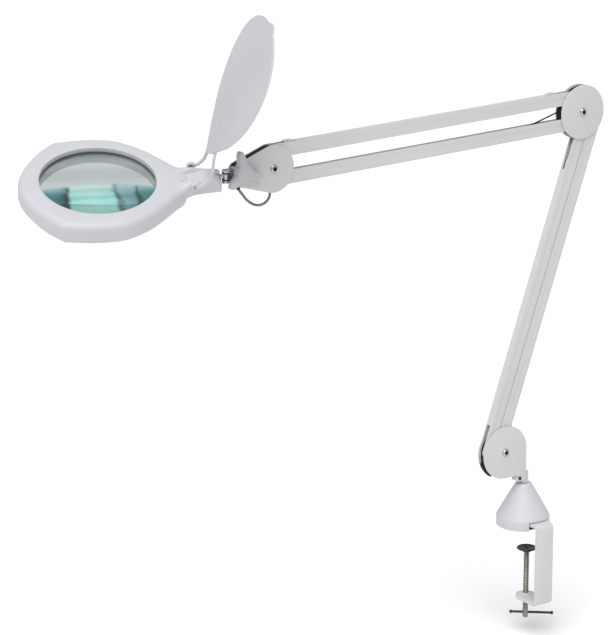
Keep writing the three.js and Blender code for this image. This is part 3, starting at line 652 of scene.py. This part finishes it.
def tommy_bar():
    reach = along("tommy_slide")
    middle = Vector((0, clamp_screw_y, centre("tommy_bar").z))
    side = Vector((0, 0, 1)).cross(reach)
    place = axes_place(middle, side, Vector((0, 0, 1)))
    left, right = -18.5, 32.5
    knob = [(0, 0), (1.3, 0), (1.9, 0.5), (2, 1.2), (2, 2.2), (1.7, 2.8), (1.4, 3.1)]
    profile = [(r, left + z) for r, z in knob] + [(r, right - z) for r, z in knob[::-1]]
    bar = lathe("tommy_bar_rod", profile, place, 32)
    piece(bar, "tommy_bar", "dark_steel", dark_steel, "tommy_bar")


# The pressure pad on the tip of the clamp screw.
def screw_pad():
    low, high = (v.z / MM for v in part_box("screw_pad"))
    profile = [
        (2.1, low), (4.6, low), (5.2, low + 0.6), (5.8, low + 2.4), (7.4, low + 3.1),
        (10.9, low + 3.6), (11.5, low + 4.1), (11.5, high - 0.7), (11, high - 0.15),
        (10.4, high), (9.6, high - 0.5), (6, high - 0.6), (5.6, high - 0.9),
        (2.1, high - 0.9), (2.1, low),
    ]
    pad = lathe("screw_pad_cup", profile, Matrix.Translation((0, clamp_screw_y, 0)))
    piece(pad, "screw_pad", "dark_steel", dark_steel, "screw_pad")


# The rubber pad that rests on the table, with four round grooves in its underside.
def table_pad():
    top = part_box("table_pad")[1].z / MM
    profile = [(0, 0)]
    for groove in (6, 10, 14, 18):
        profile += [(groove - 0.7, 0), (groove - 0.3, 0.6)]
        profile += [(groove + 0.3, 0.6), (groove + 0.7, 0)]
    profile += [(23, 0), (23.8, 0.4), (24, 1.2), (24, top - 0.8), (23.4, top), (0, top)]
    piece(lathe("table_pad_rubber", profile), "clamp", "rubber", rubber, "table_pad")


def clamp_pieces():
    clamp_frame()
    clamp_screw()
    tommy_bar()
    screw_pad()
    table_pad()
    base_bell()


def base_bell():
    low, high = (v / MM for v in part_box("base_bell"))
    rim, top, radius, wall = low.z, high.z, high.x, 1.8
    profile = [
        (radius - wall, rim + 0.4), (radius - wall + 0.4, rim), (radius - 0.8, rim),
        (radius - 0.2, rim + 0.3), (radius, rim + 1), (radius, 11.8), (radius - 0.25, 12.6),
        (radius - 0.9, 13.5), (20, 31.8), (10.2, 48.6), (9.4, top - 0.6), (8.6, top - 0.1),
        (8, top), (4.2, top), (3.9, top - 0.3), (3.9, top - wall), (7.7, top - wall),
        (18.6, 31), (radius - wall - 0.6, 12.6), (radius - wall, 11.2), (radius - wall, rim + 0.4),
    ]
    bell = lathe("base_bell_shell", profile, count=128)
    notch = box("notch", (-13.1, 13.1), (-70, -20), (-5, 11))
    boolean(bell, [notch])
    ease_edges(bell, 0.35, 2, 50)
    piece(bell, "clamp", "white_plastic", white_plastic, "base_bell")


clamp_pieces()


# ------------------------------------------------------------------ hubs
def hub_plates(name, body, outline, middle, holes=()):
    sides = (("front", PLATE_IN, PLATE_OUT), ("rear", -PLATE_OUT, -PLATE_IN))
    for side, low, high in sides:
        plate = prism(f"{name}_disc_{side}", outline, low, high, arm_place(middle))
        cuts = [
            prism("hole", circle(r, 32, at), -20, 20, arm_place(middle)) for at, r in holes
        ]
        if cuts:
            boolean(plate, cuts)
        ease_edges(plate, 0.5, 3, 40)
        piece(plate, body, "white_paint", white_paint, f"{name}_plate_{side}")


def hub_web(name, body, outline, middle):
    web = prism(f"{name}_web_plate", outline, -2.4, 2.4, arm_place(middle))
    ease_edges(web, 0.35, 2, 40)
    piece(web, body, "black_plastic", black_plastic, f"{name}_web")


# A domed socket screw in front, and a chamfered nut behind.
def hub_screw(name, body, middle):
    place = arm_place(middle)
    face = PLATE_OUT + 0.05
    dome = [
        (0, face), (4.5, face), (4.6, face + 0.25), (4.3, face + 0.45), (4.2, face + 1.0),
        (3.8, face + 1.6), (3, face + 2.1), (2, face + 2.4), (0, face + 2.5),
    ]
    head = lathe(f"{name}_screw_head", dome, place, 64)
    socket = prism("socket", circle(2.6, 6), face + 0.6, face + 4, place)
    boolean(head, [socket])
    ease_edges(head, 0.12, 2, 50)
    piece(head, body, "chrome", chrome, f"{name}_screw")
    # A black disc at the bottom of the hex socket: painted shade that darkens the socket's hollow.
    floor = prism(f"{name}_screw_socket_painted_shade", circle(2.5, 6), face + 0.4, face + 0.75, place)
    piece(floor, body, "black_plastic", black_plastic)
    nut = prism(f"{name}_nut_hex", circle(4.6, 6), -face - 3.2, -face - 0.3, place)
    crown = lathe(
        "crown",
        [(0, -face - 3.4), (3.8, -face - 3.3), (4.75, -face - 2.6), (4.75, face), (0, face)],
        place,
    )
    boolean(nut, [crown], "INTERSECT")
    piece(nut, body, "chrome", chrome, f"{name}_nut")
    stub = [(0, -3.9), (1.1, -3.9), (1.5, -3.5), (1.5, -2.5), (0, -2.5)]
    end = lathe(f"{name}_screw_end", [(r, z - face) for r, z in stub], place, 32)
    piece(end, body, "chrome", steel)


def arc(radius, start, stop, steps=64):
    turns = [math.radians(start + (stop - start) * i / steps) for i in range(steps + 1)]
    return [(radius * math.cos(a), radius * math.sin(a)) for a in turns]


def nosed_disc(start, stop):
    return arc(HUB_RADIUS + 1.4, start, stop, 24) + arc(HUB_RADIUS - 1.5, stop + 5, start + 355, 90)


def base_plate_outline():
    tab_left = -13 - base_hub.x
    tab_low = 55 - base_hub.z
    outline = arc(HUB_RADIUS, 0, 270, 96)
    outline += [(tab_left - 1.5, -HUB_RADIUS), (tab_left, -HUB_RADIUS - 1.5)]
    outline += [(tab_left, tab_low), (HUB_RADIUS, tab_low)]
    return outline


foot_screw_at = centre("foot_screw")
foot_screw_local = (foot_screw_at.x - base_hub.x, foot_screw_at.z - base_hub.z)
hub_plates("base", "base_hub", base_plate_outline(), base_hub, [(foot_screw_local, 1.4)])
hub_web("base", "base_hub", nosed_disc(200, 235), base_hub)
hub_screw("base", "base_hub", base_hub)

hub_plates("elbow", "elbow_hub", circle(HUB_RADIUS, 144), elbow_hub)
hub_web("elbow", "elbow_hub", nosed_disc(160, 195), elbow_hub)
hub_screw("elbow", "elbow_hub", elbow_hub)

tilt_local = (tilt_axis.x - head_hub.x, tilt_axis.z - head_hub.z)
tip = [(tilt_local[0] - 1.1, tilt_local[1] + 1.8, 7), (tilt_local[0] - 1.1, tilt_local[1] - 9.2, 7)]
hub_plates(
    "head", "head_hub", hull([(0, 0, HEAD_HUB_RADIUS), *tip], 128), head_hub, [(tilt_local, 2.8)]
)
hub_screw("head", "head_hub", head_hub)


# ------------------------------------------------------------------ pieces refined from the CAD
# A CAD node's own shape with eased edges. It stands for the node on the node's body.
def eased(node, body, slot, finish, width=0.35, segments=2):
    source = frame["nodes"][node]
    made = bpy.data.objects.new(f"{node}_eased", source.data.copy())
    bpy.context.scene.collection.objects.link(made)
    shape = bmesh.new()
    shape.from_mesh(made.data)
    bmesh.ops.remove_doubles(shape, verts=shape.verts, dist=1e-6)
    bmesh.ops.dissolve_limit(
        shape, angle_limit=math.radians(0.5), verts=shape.verts, edges=shape.edges
    )
    shape.to_mesh(made.data)
    shape.free()
    ease_edges(made, width, segments, 40)
    return piece(made, body, slot, finish, node)


eased("head_web", "head_hub", "black_plastic", black_plastic)


# The black strip between the head hub's plates, along its upper left side, is painted shade: a dark
# sheet put in the gap where the plates shade it.
def head_gap_painted_shade_strip():
    def inset_hull(inset):
        return hull([(0, 0, HEAD_HUB_RADIUS - inset), *((x, y, r - inset) for x, y, r in tip)], 128)

    place = arm_place(head_hub)
    strip = prism("head_gap_painted_shade_strip", inset_hull(0.5), 0.5 - PLATE_IN, PLATE_IN - 0.1, place)
    boolean(strip, [prism("core", inset_hull(2.4), -9, 9, place)])
    boolean(strip, [box("span", (-47, -3), (7, 30), (-9, 9), place)], "INTERSECT")
    piece(strip, "head_hub", "black_plastic", black_plastic)


head_gap_painted_shade_strip()
eased("base_foot", "base_hub", "white_paint", white_paint)
# The foot screw is made black as painted shade for the shaded gap at the plates' neck, where it
# shows through the plates' small hole.
eased("foot_screw", "base_hub", "black_plastic", black_plastic)
eased("tilt_knuckle", "knuckle", "chrome", chrome, 0.6, 3)
eased("head_stub", "stub", "chrome", chrome, 0.5, 3)
eased("tilt_nut", "head_hub", "chrome", chrome, 0.5, 3)
eased("swivel_bush", "clamp", "brass", brass)
eased("swing_pin", "knuckle", "steel", steel)

# Black washers between the fork and the stub's eye.
for name, height in (("swing_washer_top", 3.6), ("swing_washer_low", -3.6)):
    ring = [(1.5, -0.55), (4.05, -0.55), (4.2, 0), (4.05, 0.55), (1.5, 0.55), (1.5, -0.55)]
    washer = lathe(name, ring, Matrix.Translation(swing_axis + Vector((0, 0, height))), 40)
    piece(washer, "knuckle", "black_plastic", black_plastic)

for node in ("swivel_post", "base_pin_a", "base_pin_b", "elbow_pin_a", "elbow_pin_b",
             "elbow_pin_low", "elbow_pin_top", "head_pin_low", "head_pin_top", "tilt_bolt",
             "cover_pin_near", "cover_pin_far"):
    shown = frame["nodes"][node]
    shown.data.materials.clear()
    shown.data.materials.append(steel)
    shown.data.polygons.foreach_set("use_smooth", [True] * len(shown.data.polygons))
    shown.data.set_sharp_from_angle(angle=math.radians(35))


# ------------------------------------------------------------------ arm bars
# A channel bar with round ears. Its back is on the +y side or the -y side of its own plane, and
# a window may be cut in the back.
def bar(node, body, pivot, far_pivot, back, window=None):
    run = far_pivot - pivot
    length = run.length
    angle = math.atan2(run.z, run.x)
    place = arm_place(pivot, angle)
    half = BAR_WIDTH / 2
    inside = BAR_DEPTH / 2 - BAR_WALL
    outline = hull([(0, 0, half), (length, 0, half)], 64)
    made = prism(f"{node}_channel", outline, -BAR_DEPTH / 2, BAR_DEPTH / 2, place)
    clear = half + 2
    trough = (-clear, half - BAR_WALL) if back > 0 else (-half + BAR_WALL, clear)
    hollow = (-inside, inside)
    cuts = [
        box("cut", (-clear, length + clear), trough, hollow, place),
        box("cut", (-clear, BAR_EAR), (-clear, clear), hollow, place),
        box("cut", (length - BAR_EAR, length + clear), (-clear, clear), hollow, place),
    ]
    cuts += [prism("cut", circle(2.8, 32, (x, 0)), -9, 9, place) for x in (0, length)]
    if window:
        wall = (half - 2.5, clear) if back > 0 else (-clear, -half + 2.5)
        cuts.append(box("cut", window, wall, (-1.8, 1.8), place))
    boolean(made, cuts)
    ease_edges(made, 0.4, 3, 40)
    piece(made, body, "white_paint", white_paint, node)
    return place, length


# A coil spring along local x, with a hook at each end.
def coil(node, body, start, stop, place, turns, offset):
    radius, wire = 2.1, 0.55
    steps = turns * 14
    line = []
    for k in range(steps + 1):
        a = 2 * math.pi * turns * k / steps
        x = start + 4 + (stop - start - 8) * k / steps
        line.append((x, offset + radius * math.cos(a), radius * math.sin(a)))
    hook = [(start, offset, 0), (start + 2, offset, 0), (start + 3.4, offset + radius * 0.7, 0)]
    end = [(start + stop - x, y, z) for x, y, z in hook[::-1]]
    made = tube(f"{node}_coil", hook + line + end, wire, 6, place)
    piece(made, body, "steel", spring_steel, node, flat_beyond=80)


lower_run = (elbow_a - base_a).length
spring_window = (lower_run - 43, lower_run - BAR_EAR + 1)
place_a, lower_length = bar("lower_bar_a", "lower_bar_a", base_a, elbow_a, 1, spring_window)
elbow_b = base_b + (elbow_a - base_a)
place_b, _ = bar("lower_bar_b", "lower_bar_b", base_b, elbow_b, -1)
for letter, place, offset in (("a", place_a, 3.4), ("b", place_b, -3.4)):
    coil(f"lower_spring_{letter}", f"lower_bar_{letter}", lower_length - 150, lower_length - 12,
         place, 62, offset)
liner = box(
    "spring_liner", (lower_length - 50, lower_length - 14), (-5.6, -4.9), (-2.6, 2.6), place_a
)
piece(liner, "lower_bar_a", "black_plastic", black_plastic)

head_top = elbow_top + (head_low - elbow_low)
place_low, _ = bar("upper_bar_low", "upper_bar_low", elbow_low, head_low, 1)
place_top, upper_length = bar("upper_bar_top", "upper_bar_top", elbow_top, head_top, -1)
coil("upper_spring", "upper_bar_low", 72, 200, place_low, 58, 1.0)


# The hooked rod from the elbow's web to the upper spring.
def spring_link():
    low, high = (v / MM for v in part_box("spring_link"))
    start = Vector((high.x, 0, high.z - 1))
    stop = Vector((low.x, 0, low.z + 1))
    line = [start.lerp(stop, k / 24) for k in range(25)]
    rod = tube("spring_link_rod", line, 0.9, 12)
    piece(rod, None, "steel", dark_steel, "spring_link")
    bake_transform(rod)


spring_link()


# The clips that hold the lead on top of the upper bar, beside each hub.
def lead_clip(name, at):
    half = BAR_WIDTH / 2
    outline = [(-6, 0), (-6, 0.5), (-5, 1.6), (-3, 2), (3, 2), (5, 1.6), (6, 0.5), (6, 0)]
    shape = [(at + x, -half - y * 0.95) for x, y in outline]
    clip = prism(name, shape, -2.9, 2.9, place_top)
    ease_edges(clip, 0.4, 2, 40)
    piece(clip, "upper_bar_top", "white_plastic", white_plastic)


lead_clip("lead_clip_elbow", 33)
lead_clip("lead_clip_head", upper_length - 21)


# ------------------------------------------------------------------ tilt knob
# Three tapered lobes that flow into a round hub through wide hollows.
def knob_outline():
    count = 180

    def reach(angle):
        turn = (angle - math.radians(102) + math.pi / 3) % (2 * math.pi / 3) - math.pi / 3
        lobe = max(math.cos(1.5 * turn), 0.0)
        return 9.6 + 13.6 * lobe ** 9

    turns = [2 * math.pi * i / count for i in range(count)]
    return [(reach(a) * math.cos(a), reach(a) * math.sin(a)) for a in turns]


def tilt_knob():
    place = arm_place(Vector((tilt_axis.x, 0, tilt_axis.z)))
    wings = prism("tilt_knob_wings", knob_outline(), 7.6, 15.6, place)
    ease_edges(wings, 1.4, 4, 60)
    piece(wings, "knob", "white_plastic", knob_plastic, "tilt_knob", flat_beyond=50)
    hub = [
        (2.7, 6.1), (8, 6.1), (8.4, 6.6), (8.4, 15), (8, 15.4), (0, 15.4), (0, 14),
        (2.7, 14), (2.7, 6.1),
    ]
    piece(lathe("tilt_knob_hub", hub, place), "knob", "white_plastic", knob_plastic)


tilt_knob()


# ------------------------------------------------------------------ lead across the head joint
def head_lead():
    top = Vector((head_hub.x, 0, head_hub.z - HEAD_HUB_RADIUS))
    tail = Vector((tilt_axis.x, 0, tilt_axis.z - 16.3))
    offsets = [
        (-1.6, 0.9), (-1.8, -4.1), (-5.4, -9.2), (-12.5, -12.2), (-21, -11), (-29.5, -5.6),
        (-36, 1.9),
    ]
    route = [top + Vector((x, 0, z)) for x, z in offsets]
    route += [tail + Vector((0.6, 0, -3.3)), tail]
    line = smooth_line(route, 10)
    lead = tube("head_lead_cable", line, 1.45, 16)
    piece(lead, None, "grey_cable", cable, "head_lead")
    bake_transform(lead)
    grommet = [(1.5, -3.2), (2, -3.4), (2.5, -2.8), (2.6, 0.2), (1.5, 0.2), (1.5, -3.2)]
    made = lathe("head_lead_grommet", grommet, Matrix.Translation(tail), 32)
    piece(made, "knuckle", "black_plastic", black_plastic)


head_lead()


# ------------------------------------------------------------------ head
# Half of the housing's outline. The front run ends in a corner, where the side run starts.
FRONT_RUN = [(-81.5, 0), (-78.5, 19), (-69.5, 40), (-57, 60), (-41, 77)]
SIDE_RUN = [(-41, 77), (-18, 80.3), (6, 80.5), (26, 76.5), (49, 62), (66, 45)]
SHOULDER = [(79, 29.5), (88, 20), (92, 10), (92.5, 0)]
NECK_SIDE = [(78.5, 30.5), (87, 21.8), (95, 17.6), (105, 15.2), (116, 13.2), (125.5, 12.5)]


def across_x(points):
    return [(x, -y) for x, y in points[::-1]]


# The front, smooth right across the middle, and the side run with its mirror image.
def housing_loop(side_run, end=()):
    front = smooth_line([(x, y, 0) for x, y in across_x(FRONT_RUN)[:-1] + FRONT_RUN], 6)
    side = smooth_line([(x, y, 0) for x, y in side_run], 6)
    half = [tuple(p[:2]) for p in side]
    return [tuple(p[:2]) for p in front[:-1]] + half + list(end) + across_x(half)[:-1]


def mirrored(half):
    return half + [(x, -y) for x, y in half[::-1] if abs(y) > 1e-6]


# Each point of an outline moved towards the inside along the outline's own normal.
def drawn_in(outline, inset):
    out = []
    count = len(outline)
    for i in range(count):
        before, here, after = (Vector(outline[(i + k) % count]) for k in (-1, 0, 1))
        run = (after - before).normalized()
        inward = Vector((run.y, -run.x))
        out.append(tuple(here + inward * inset))
    return out


def ramp(x, low, high):
    t = max(0.0, min(1.0, (x - low) / (high - low)))
    return t * t * (3 - 2 * t)


# Height of the head's top before its edge is rounded: a gentle rise to the lens, and a neck
# with a rail along each side of a scooped hollow.
def top_height(x, y, inset):
    rise = 1.0 * ramp(inset, 2, 18)
    neck = ramp(x, 80, 97)
    hollow = ramp(x, 85, 93) * (1 - ramp(x, 108, 114)) * (1 - ramp(abs(y), 7, 11))
    return rise * (1 - neck) + 4.6 * neck - 7.5 * hollow * neck


def distance_to(outline, x, y):
    best = 1e9
    here = Vector((x, y))
    for i, p in enumerate(outline):
        a, b = Vector(p), Vector(outline[(i + 1) % len(outline)])
        run = b - a
        t = max(0.0, min(1.0, (here - a).dot(run) / max(run.length_squared, 1e-9)))
        best = min(best, (here - a - run * t).length)
    return best


def head_top_shell():
    loop = housing_loop(SIDE_RUN + NECK_SIDE, [(NECK_END, 11), (NECK_END, -11)])
    count = len(loop)
    edge_radius = 7.0
    edge_z = -edge_radius

    def lens_rim(radius):
        rim = []
        for x, y in loop:
            reach = math.hypot(x, y)
            rim.append((x / reach * radius, y / reach * radius))
        return rim

    opening = lens_rim(LENS_OPENING + 1.2)
    points = []

    def ring(outline, height):
        points.extend((x, y, height(x, y)) for x, y in outline)

    def under(x, y):
        return SHELL_SPLIT_Z + ramp(x, 93, 99)

    ring(drawn_in(loop, 2), under)
    ring(loop, under)
    ring(loop, lambda x, y: edge_z)
    shares = [0.004, 0.012, 0.025, 0.045, 0.07, 0.1, 0.14, 0.19, 0.25, 0.33, 0.42, 0.52, 0.63,
              0.75, 0.88, 1.0]
    for share in shares:
        row = [
            (a[0] + (b[0] - a[0]) * share, a[1] + (b[1] - a[1]) * share)
            for a, b in zip(loop, opening)
        ]
        for x, y in row:
            inset = distance_to(loop, x, y)
            z = top_height(x, y, inset)
            if inset < edge_radius:
                short = edge_radius - inset
                z -= edge_radius - math.sqrt(edge_radius**2 - short**2)
            points.append((x, y, z))
    for radius, z in ((60.35, 0.65), (60, -0.2), (60, -3.8), (63.8, -3.8), (63.8, -9.9),
                      (LED_OUTER + 0.8, -9.9), (LED_OUTER + 0.8, SHELL_SPLIT_Z)):
        ring(lens_rim(radius), lambda x, y, z=z: z)
    rings = len(points) // count
    top = mesh_from("head_top_cover", points, grid_faces(rings, count), head_place)
    bore = prism("bore", circle(2.9, 32), NECK_END - 13, NECK_END + 2,
                 head_place @ Matrix.Rotation(math.pi / 2, 4, "Y"))
    boolean(top, [bore])
    piece(top, "head", "white_plastic", white_plastic, "top_shell", "neck_block", flat_beyond=30)


def head_low_shell():
    loop = housing_loop(SIDE_RUN + SHOULDER[:-1], [SHOULDER[-1]])
    count = len(loop)
    split = SHELL_SPLIT_Z - 0.02
    edge = 8.0
    levels = [(2.4, split), (0, split)]
    levels += [(edge - edge * x, SHELL_LOW_Z + edge - edge * y) for x, y in arc(1, 0, 90, 8)]
    points = []
    for inset, z in levels:
        points += [(x, y, z) for x, y in drawn_in(loop, inset)]

    def rim(radius, z):
        for x, y in loop:
            reach = math.hypot(x, y)
            points.append((x / reach * radius, y / reach * radius, z))

    rim(LED_OUTER + GAP, SHELL_LOW_Z)
    rim(LED_OUTER + GAP, SHELL_LOW_Z + 2)
    points += [(x, y, SHELL_LOW_Z + 2.2) for x, y in drawn_in(loop, 3.4)]
    points += [(x, y, SHELL_LOW_Z + 4) for x, y in drawn_in(loop, 2.4)]
    rings = len(points) // count
    shell = mesh_from("head_low_cover", points, grid_faces(rings, count), head_place)
    at = (SWITCH_X, 0)
    hole = prism("hole", circle(4.3, 40, at), SHELL_LOW_Z - 2, SHELL_LOW_Z + 6, head_place)
    boolean(shell, [hole])
    piece(shell, "head", "white_plastic", white_plastic, "low_shell", flat_beyond=30)
    button = [
        (0, -26.8), (2.6, -26.75), (3.6, -26.3), (4, -25.6), (4, -22.7), (5.2, -22.7),
        (5.2, -21), (0, -21),
    ]
    made = lathe("switch_cap", button, head_place @ Matrix.Translation((*at, 0)), 48)
    piece(made, "switch", "black_plastic", black_plastic, "switch_button")


def lens_profile():
    steps = 24

    def drop(r):
        return LENS_CURVE - math.sqrt(LENS_CURVE**2 - r * r)

    crown = LENS_EDGE / 2 + drop(LENS_RADIUS)
    radii = [LENS_RADIUS * i / steps for i in range(steps + 1)]
    middle = LENS_MID_Z + LENS_LIFT
    low = [(r, middle - crown + drop(r)) for r in radii]
    high = [(r, middle + crown - drop(r)) for r in radii[::-1]]
    return low + high


# The lens is placed by its own matrix, so that its material can use the head's own frame.
def head_pieces():
    head_top_shell()
    head_low_shell()
    lens = lathe("lens_disc", lens_profile(), None, 128)
    turn = head_place.to_3x3().to_4x4()
    lens.matrix_world = Matrix.Translation(head_place.translation * MM) @ turn
    bpy.context.view_layer.update()
    piece(lens, "head", "glass", glass, "lens", flat_beyond=40)
    retainer = [
        (60.3, -12.4), (60.3, -10.7), (60.6, -10.4), (70.2, -10.4), (70.5, -10.7),
        (70.5, -12.4), (60.3, -12.4),
    ]
    piece(lathe("lens_retaining_ring", retainer, head_place, 128),
          "head", "white_plastic", white_plastic, "lens_retainer")
    board_ring = [(65, -14.3), (65, -12.7), (70.5, -12.7), (70.5, -14.3), (65, -14.3)]
    piece(lathe("led_ring_board", board_ring, head_place, 128),
          "head", "circuit_board", board, "led_board")
    for i in range(LED_COUNT):
        at = head_place @ Matrix.Rotation(2 * math.pi * i / LED_COUNT, 4, "Z")
        chip = box(f"led_chip_{i:02d}", (66.4, 69.2), (-1.7, 1.7), (-15.1, -14.3), at)
        ease_edges(chip, 0.15, 1, 40)
        piece(chip, "head", "diffuser", led_yellow)
    window = [
        (60.3, -25), (70, -25), (70.5, -24.5), (70.5, -23.2), (62.6, -23.2), (62.3, -22.9),
        (62.3, -12.8), (60.8, -12.8), (60.3, -13.3), (60.3, -25),
    ]
    piece(lathe("led_window", window, head_place, 128),
          "head", "diffuser", diffuser, "led_diffuser")


head_pieces()


# ------------------------------------------------------------------ lens cover
COVER_HALF = [
    (-32, 0), (-34, 6), (-43, 17), (-57, 32.5), (-74, 49), (-93, 61.5), (-113, 69),
    (-132, 71), (-150, 67.5), (-166, 57.5), (-178, 41.5), (-185.5, 20), (-187, 0),
]
LEG_LINE = [
    (0, 19.5, 0), (-4, 19.8, 5.5), (-13, 20, 9.5), (-26, 19.5, 8), (-40, 18, 4), (-54, 17, 2.1),
]
LEG_HALF_WIDTH = 1.9
LEG_HALF_DEPTH = 1.3
LEG_SECTION = [
    (1, 0.6), (0.8, 1), (-0.8, 1), (-1, 0.6), (-1, -0.6), (-0.8, -1), (0.8, -1), (1, -0.6),
]


# One bowed leg, from the hinge pin to the plate, with an eyelet round the pin.
def cover_leg(name, side):
    line = smooth_line([(x, side * y, z) for x, y, z in LEG_LINE], 8)
    out = Vector((0, 1, 0))
    points = []
    for i, p in enumerate(line):
        ahead = (line[min(i + 1, len(line) - 1)] - line[max(i - 1, 0)]).normalized()
        up = ahead.cross(out).normalized()
        points += [
            p + out * (LEG_HALF_WIDTH * a) + up * (LEG_HALF_DEPTH * b) for a, b in LEG_SECTION
        ]
    count = len(LEG_SECTION)
    end = len(points) - count
    faces = grid_faces(len(line), count, closed=False)
    faces += [tuple(range(count)), tuple(range(end, end + count))]
    leg = mesh_from(f"cover_leg_{name}", points, faces, cover_place)
    piece(leg, "cover", "cover_plastic", cover_plastic, flat_beyond=40)
    inner, outer = sorted((side * 17.6, side * 21.4))
    ring = [
        (2.1, inner), (4, inner), (4.5, inner + 0.5), (4.5, outer - 0.5), (4, outer),
        (2.1, outer), (2.1, inner),
    ]
    pin_place = cover_place @ Matrix.Rotation(-math.pi / 2, 4, "X")
    eye = lathe(f"cover_eyelet_{name}", ring, pin_place, 48)
    piece(eye, "cover", "cover_plastic", cover_plastic)


def lens_cover():
    low, high = 1.0, 3.2
    plate = prism("lens_cover_plate", smooth_loop(mirrored(COVER_HALF), 8), low, high, cover_place)
    tab = prism("tab", hull([(-186, -3.5, 5.5), (-186, 3.5, 5.5)]), low, high, cover_place)
    boolean(plate, [tab], "UNION")
    ease_edges(plate, 0.6, 3, 50)
    piece(plate, "cover", "cover_plastic", cover_plastic, "lens_cover", flat_beyond=40)
    for name, side in (("far", 1), ("near", -1)):
        cover_leg(name, side)


lens_cover()


# ------------------------------------------------------------------ stage, light and camera
def stage():
    bpy.ops.mesh.primitive_plane_add(size=12, location=(0, 0, cad_box[0].z - 0.02))
    floor = bpy.context.object
    floor.name = "floor"
    pale = material("pale_floor", (0.93, 0.93, 0.93), 0.9)
    mottle(pale, 2, 0.99, 1.0)
    floor.data.materials.append(pale)

    world = bpy.data.worlds.new("studio")
    world.use_nodes = True
    sky = world.node_tree.nodes["Background"]
    sky.inputs["Color"].default_value = (0.98, 0.985, 1.0, 1)
    sky.inputs["Strength"].default_value = 0.55
    bpy.context.scene.world = world
    bpy.context.scene.view_settings.view_transform = "Standard"


def sun(name, towards, strength, softness):
    data = bpy.data.lights.new(name, "SUN")
    data.energy = strength
    data.angle = math.radians(softness)
    lamp = bpy.data.objects.new(name, data)
    bpy.context.scene.collection.objects.link(lamp)
    lamp.rotation_euler = Vector(towards).to_track_quat("-Z", "Y").to_euler()


def camera():
    data = bpy.data.cameras.new("camera")
    data.sensor_fit = "HORIZONTAL"
    data.sensor_width = 36
    data.lens = 152.2
    made = bpy.data.objects.new("camera", data)
    bpy.context.scene.collection.objects.link(made)
    made.location = (-1.8270, -2.2168, 1.0040)
    look_down = math.radians(14.8)
    look_right = math.radians(34.5)
    made.rotation_euler = (math.pi / 2 - look_down, 0, -look_right)
    bpy.context.scene.camera = made


stage()
sun("key", (0.5, 0.42, -1), 2.5, 50)
camera()
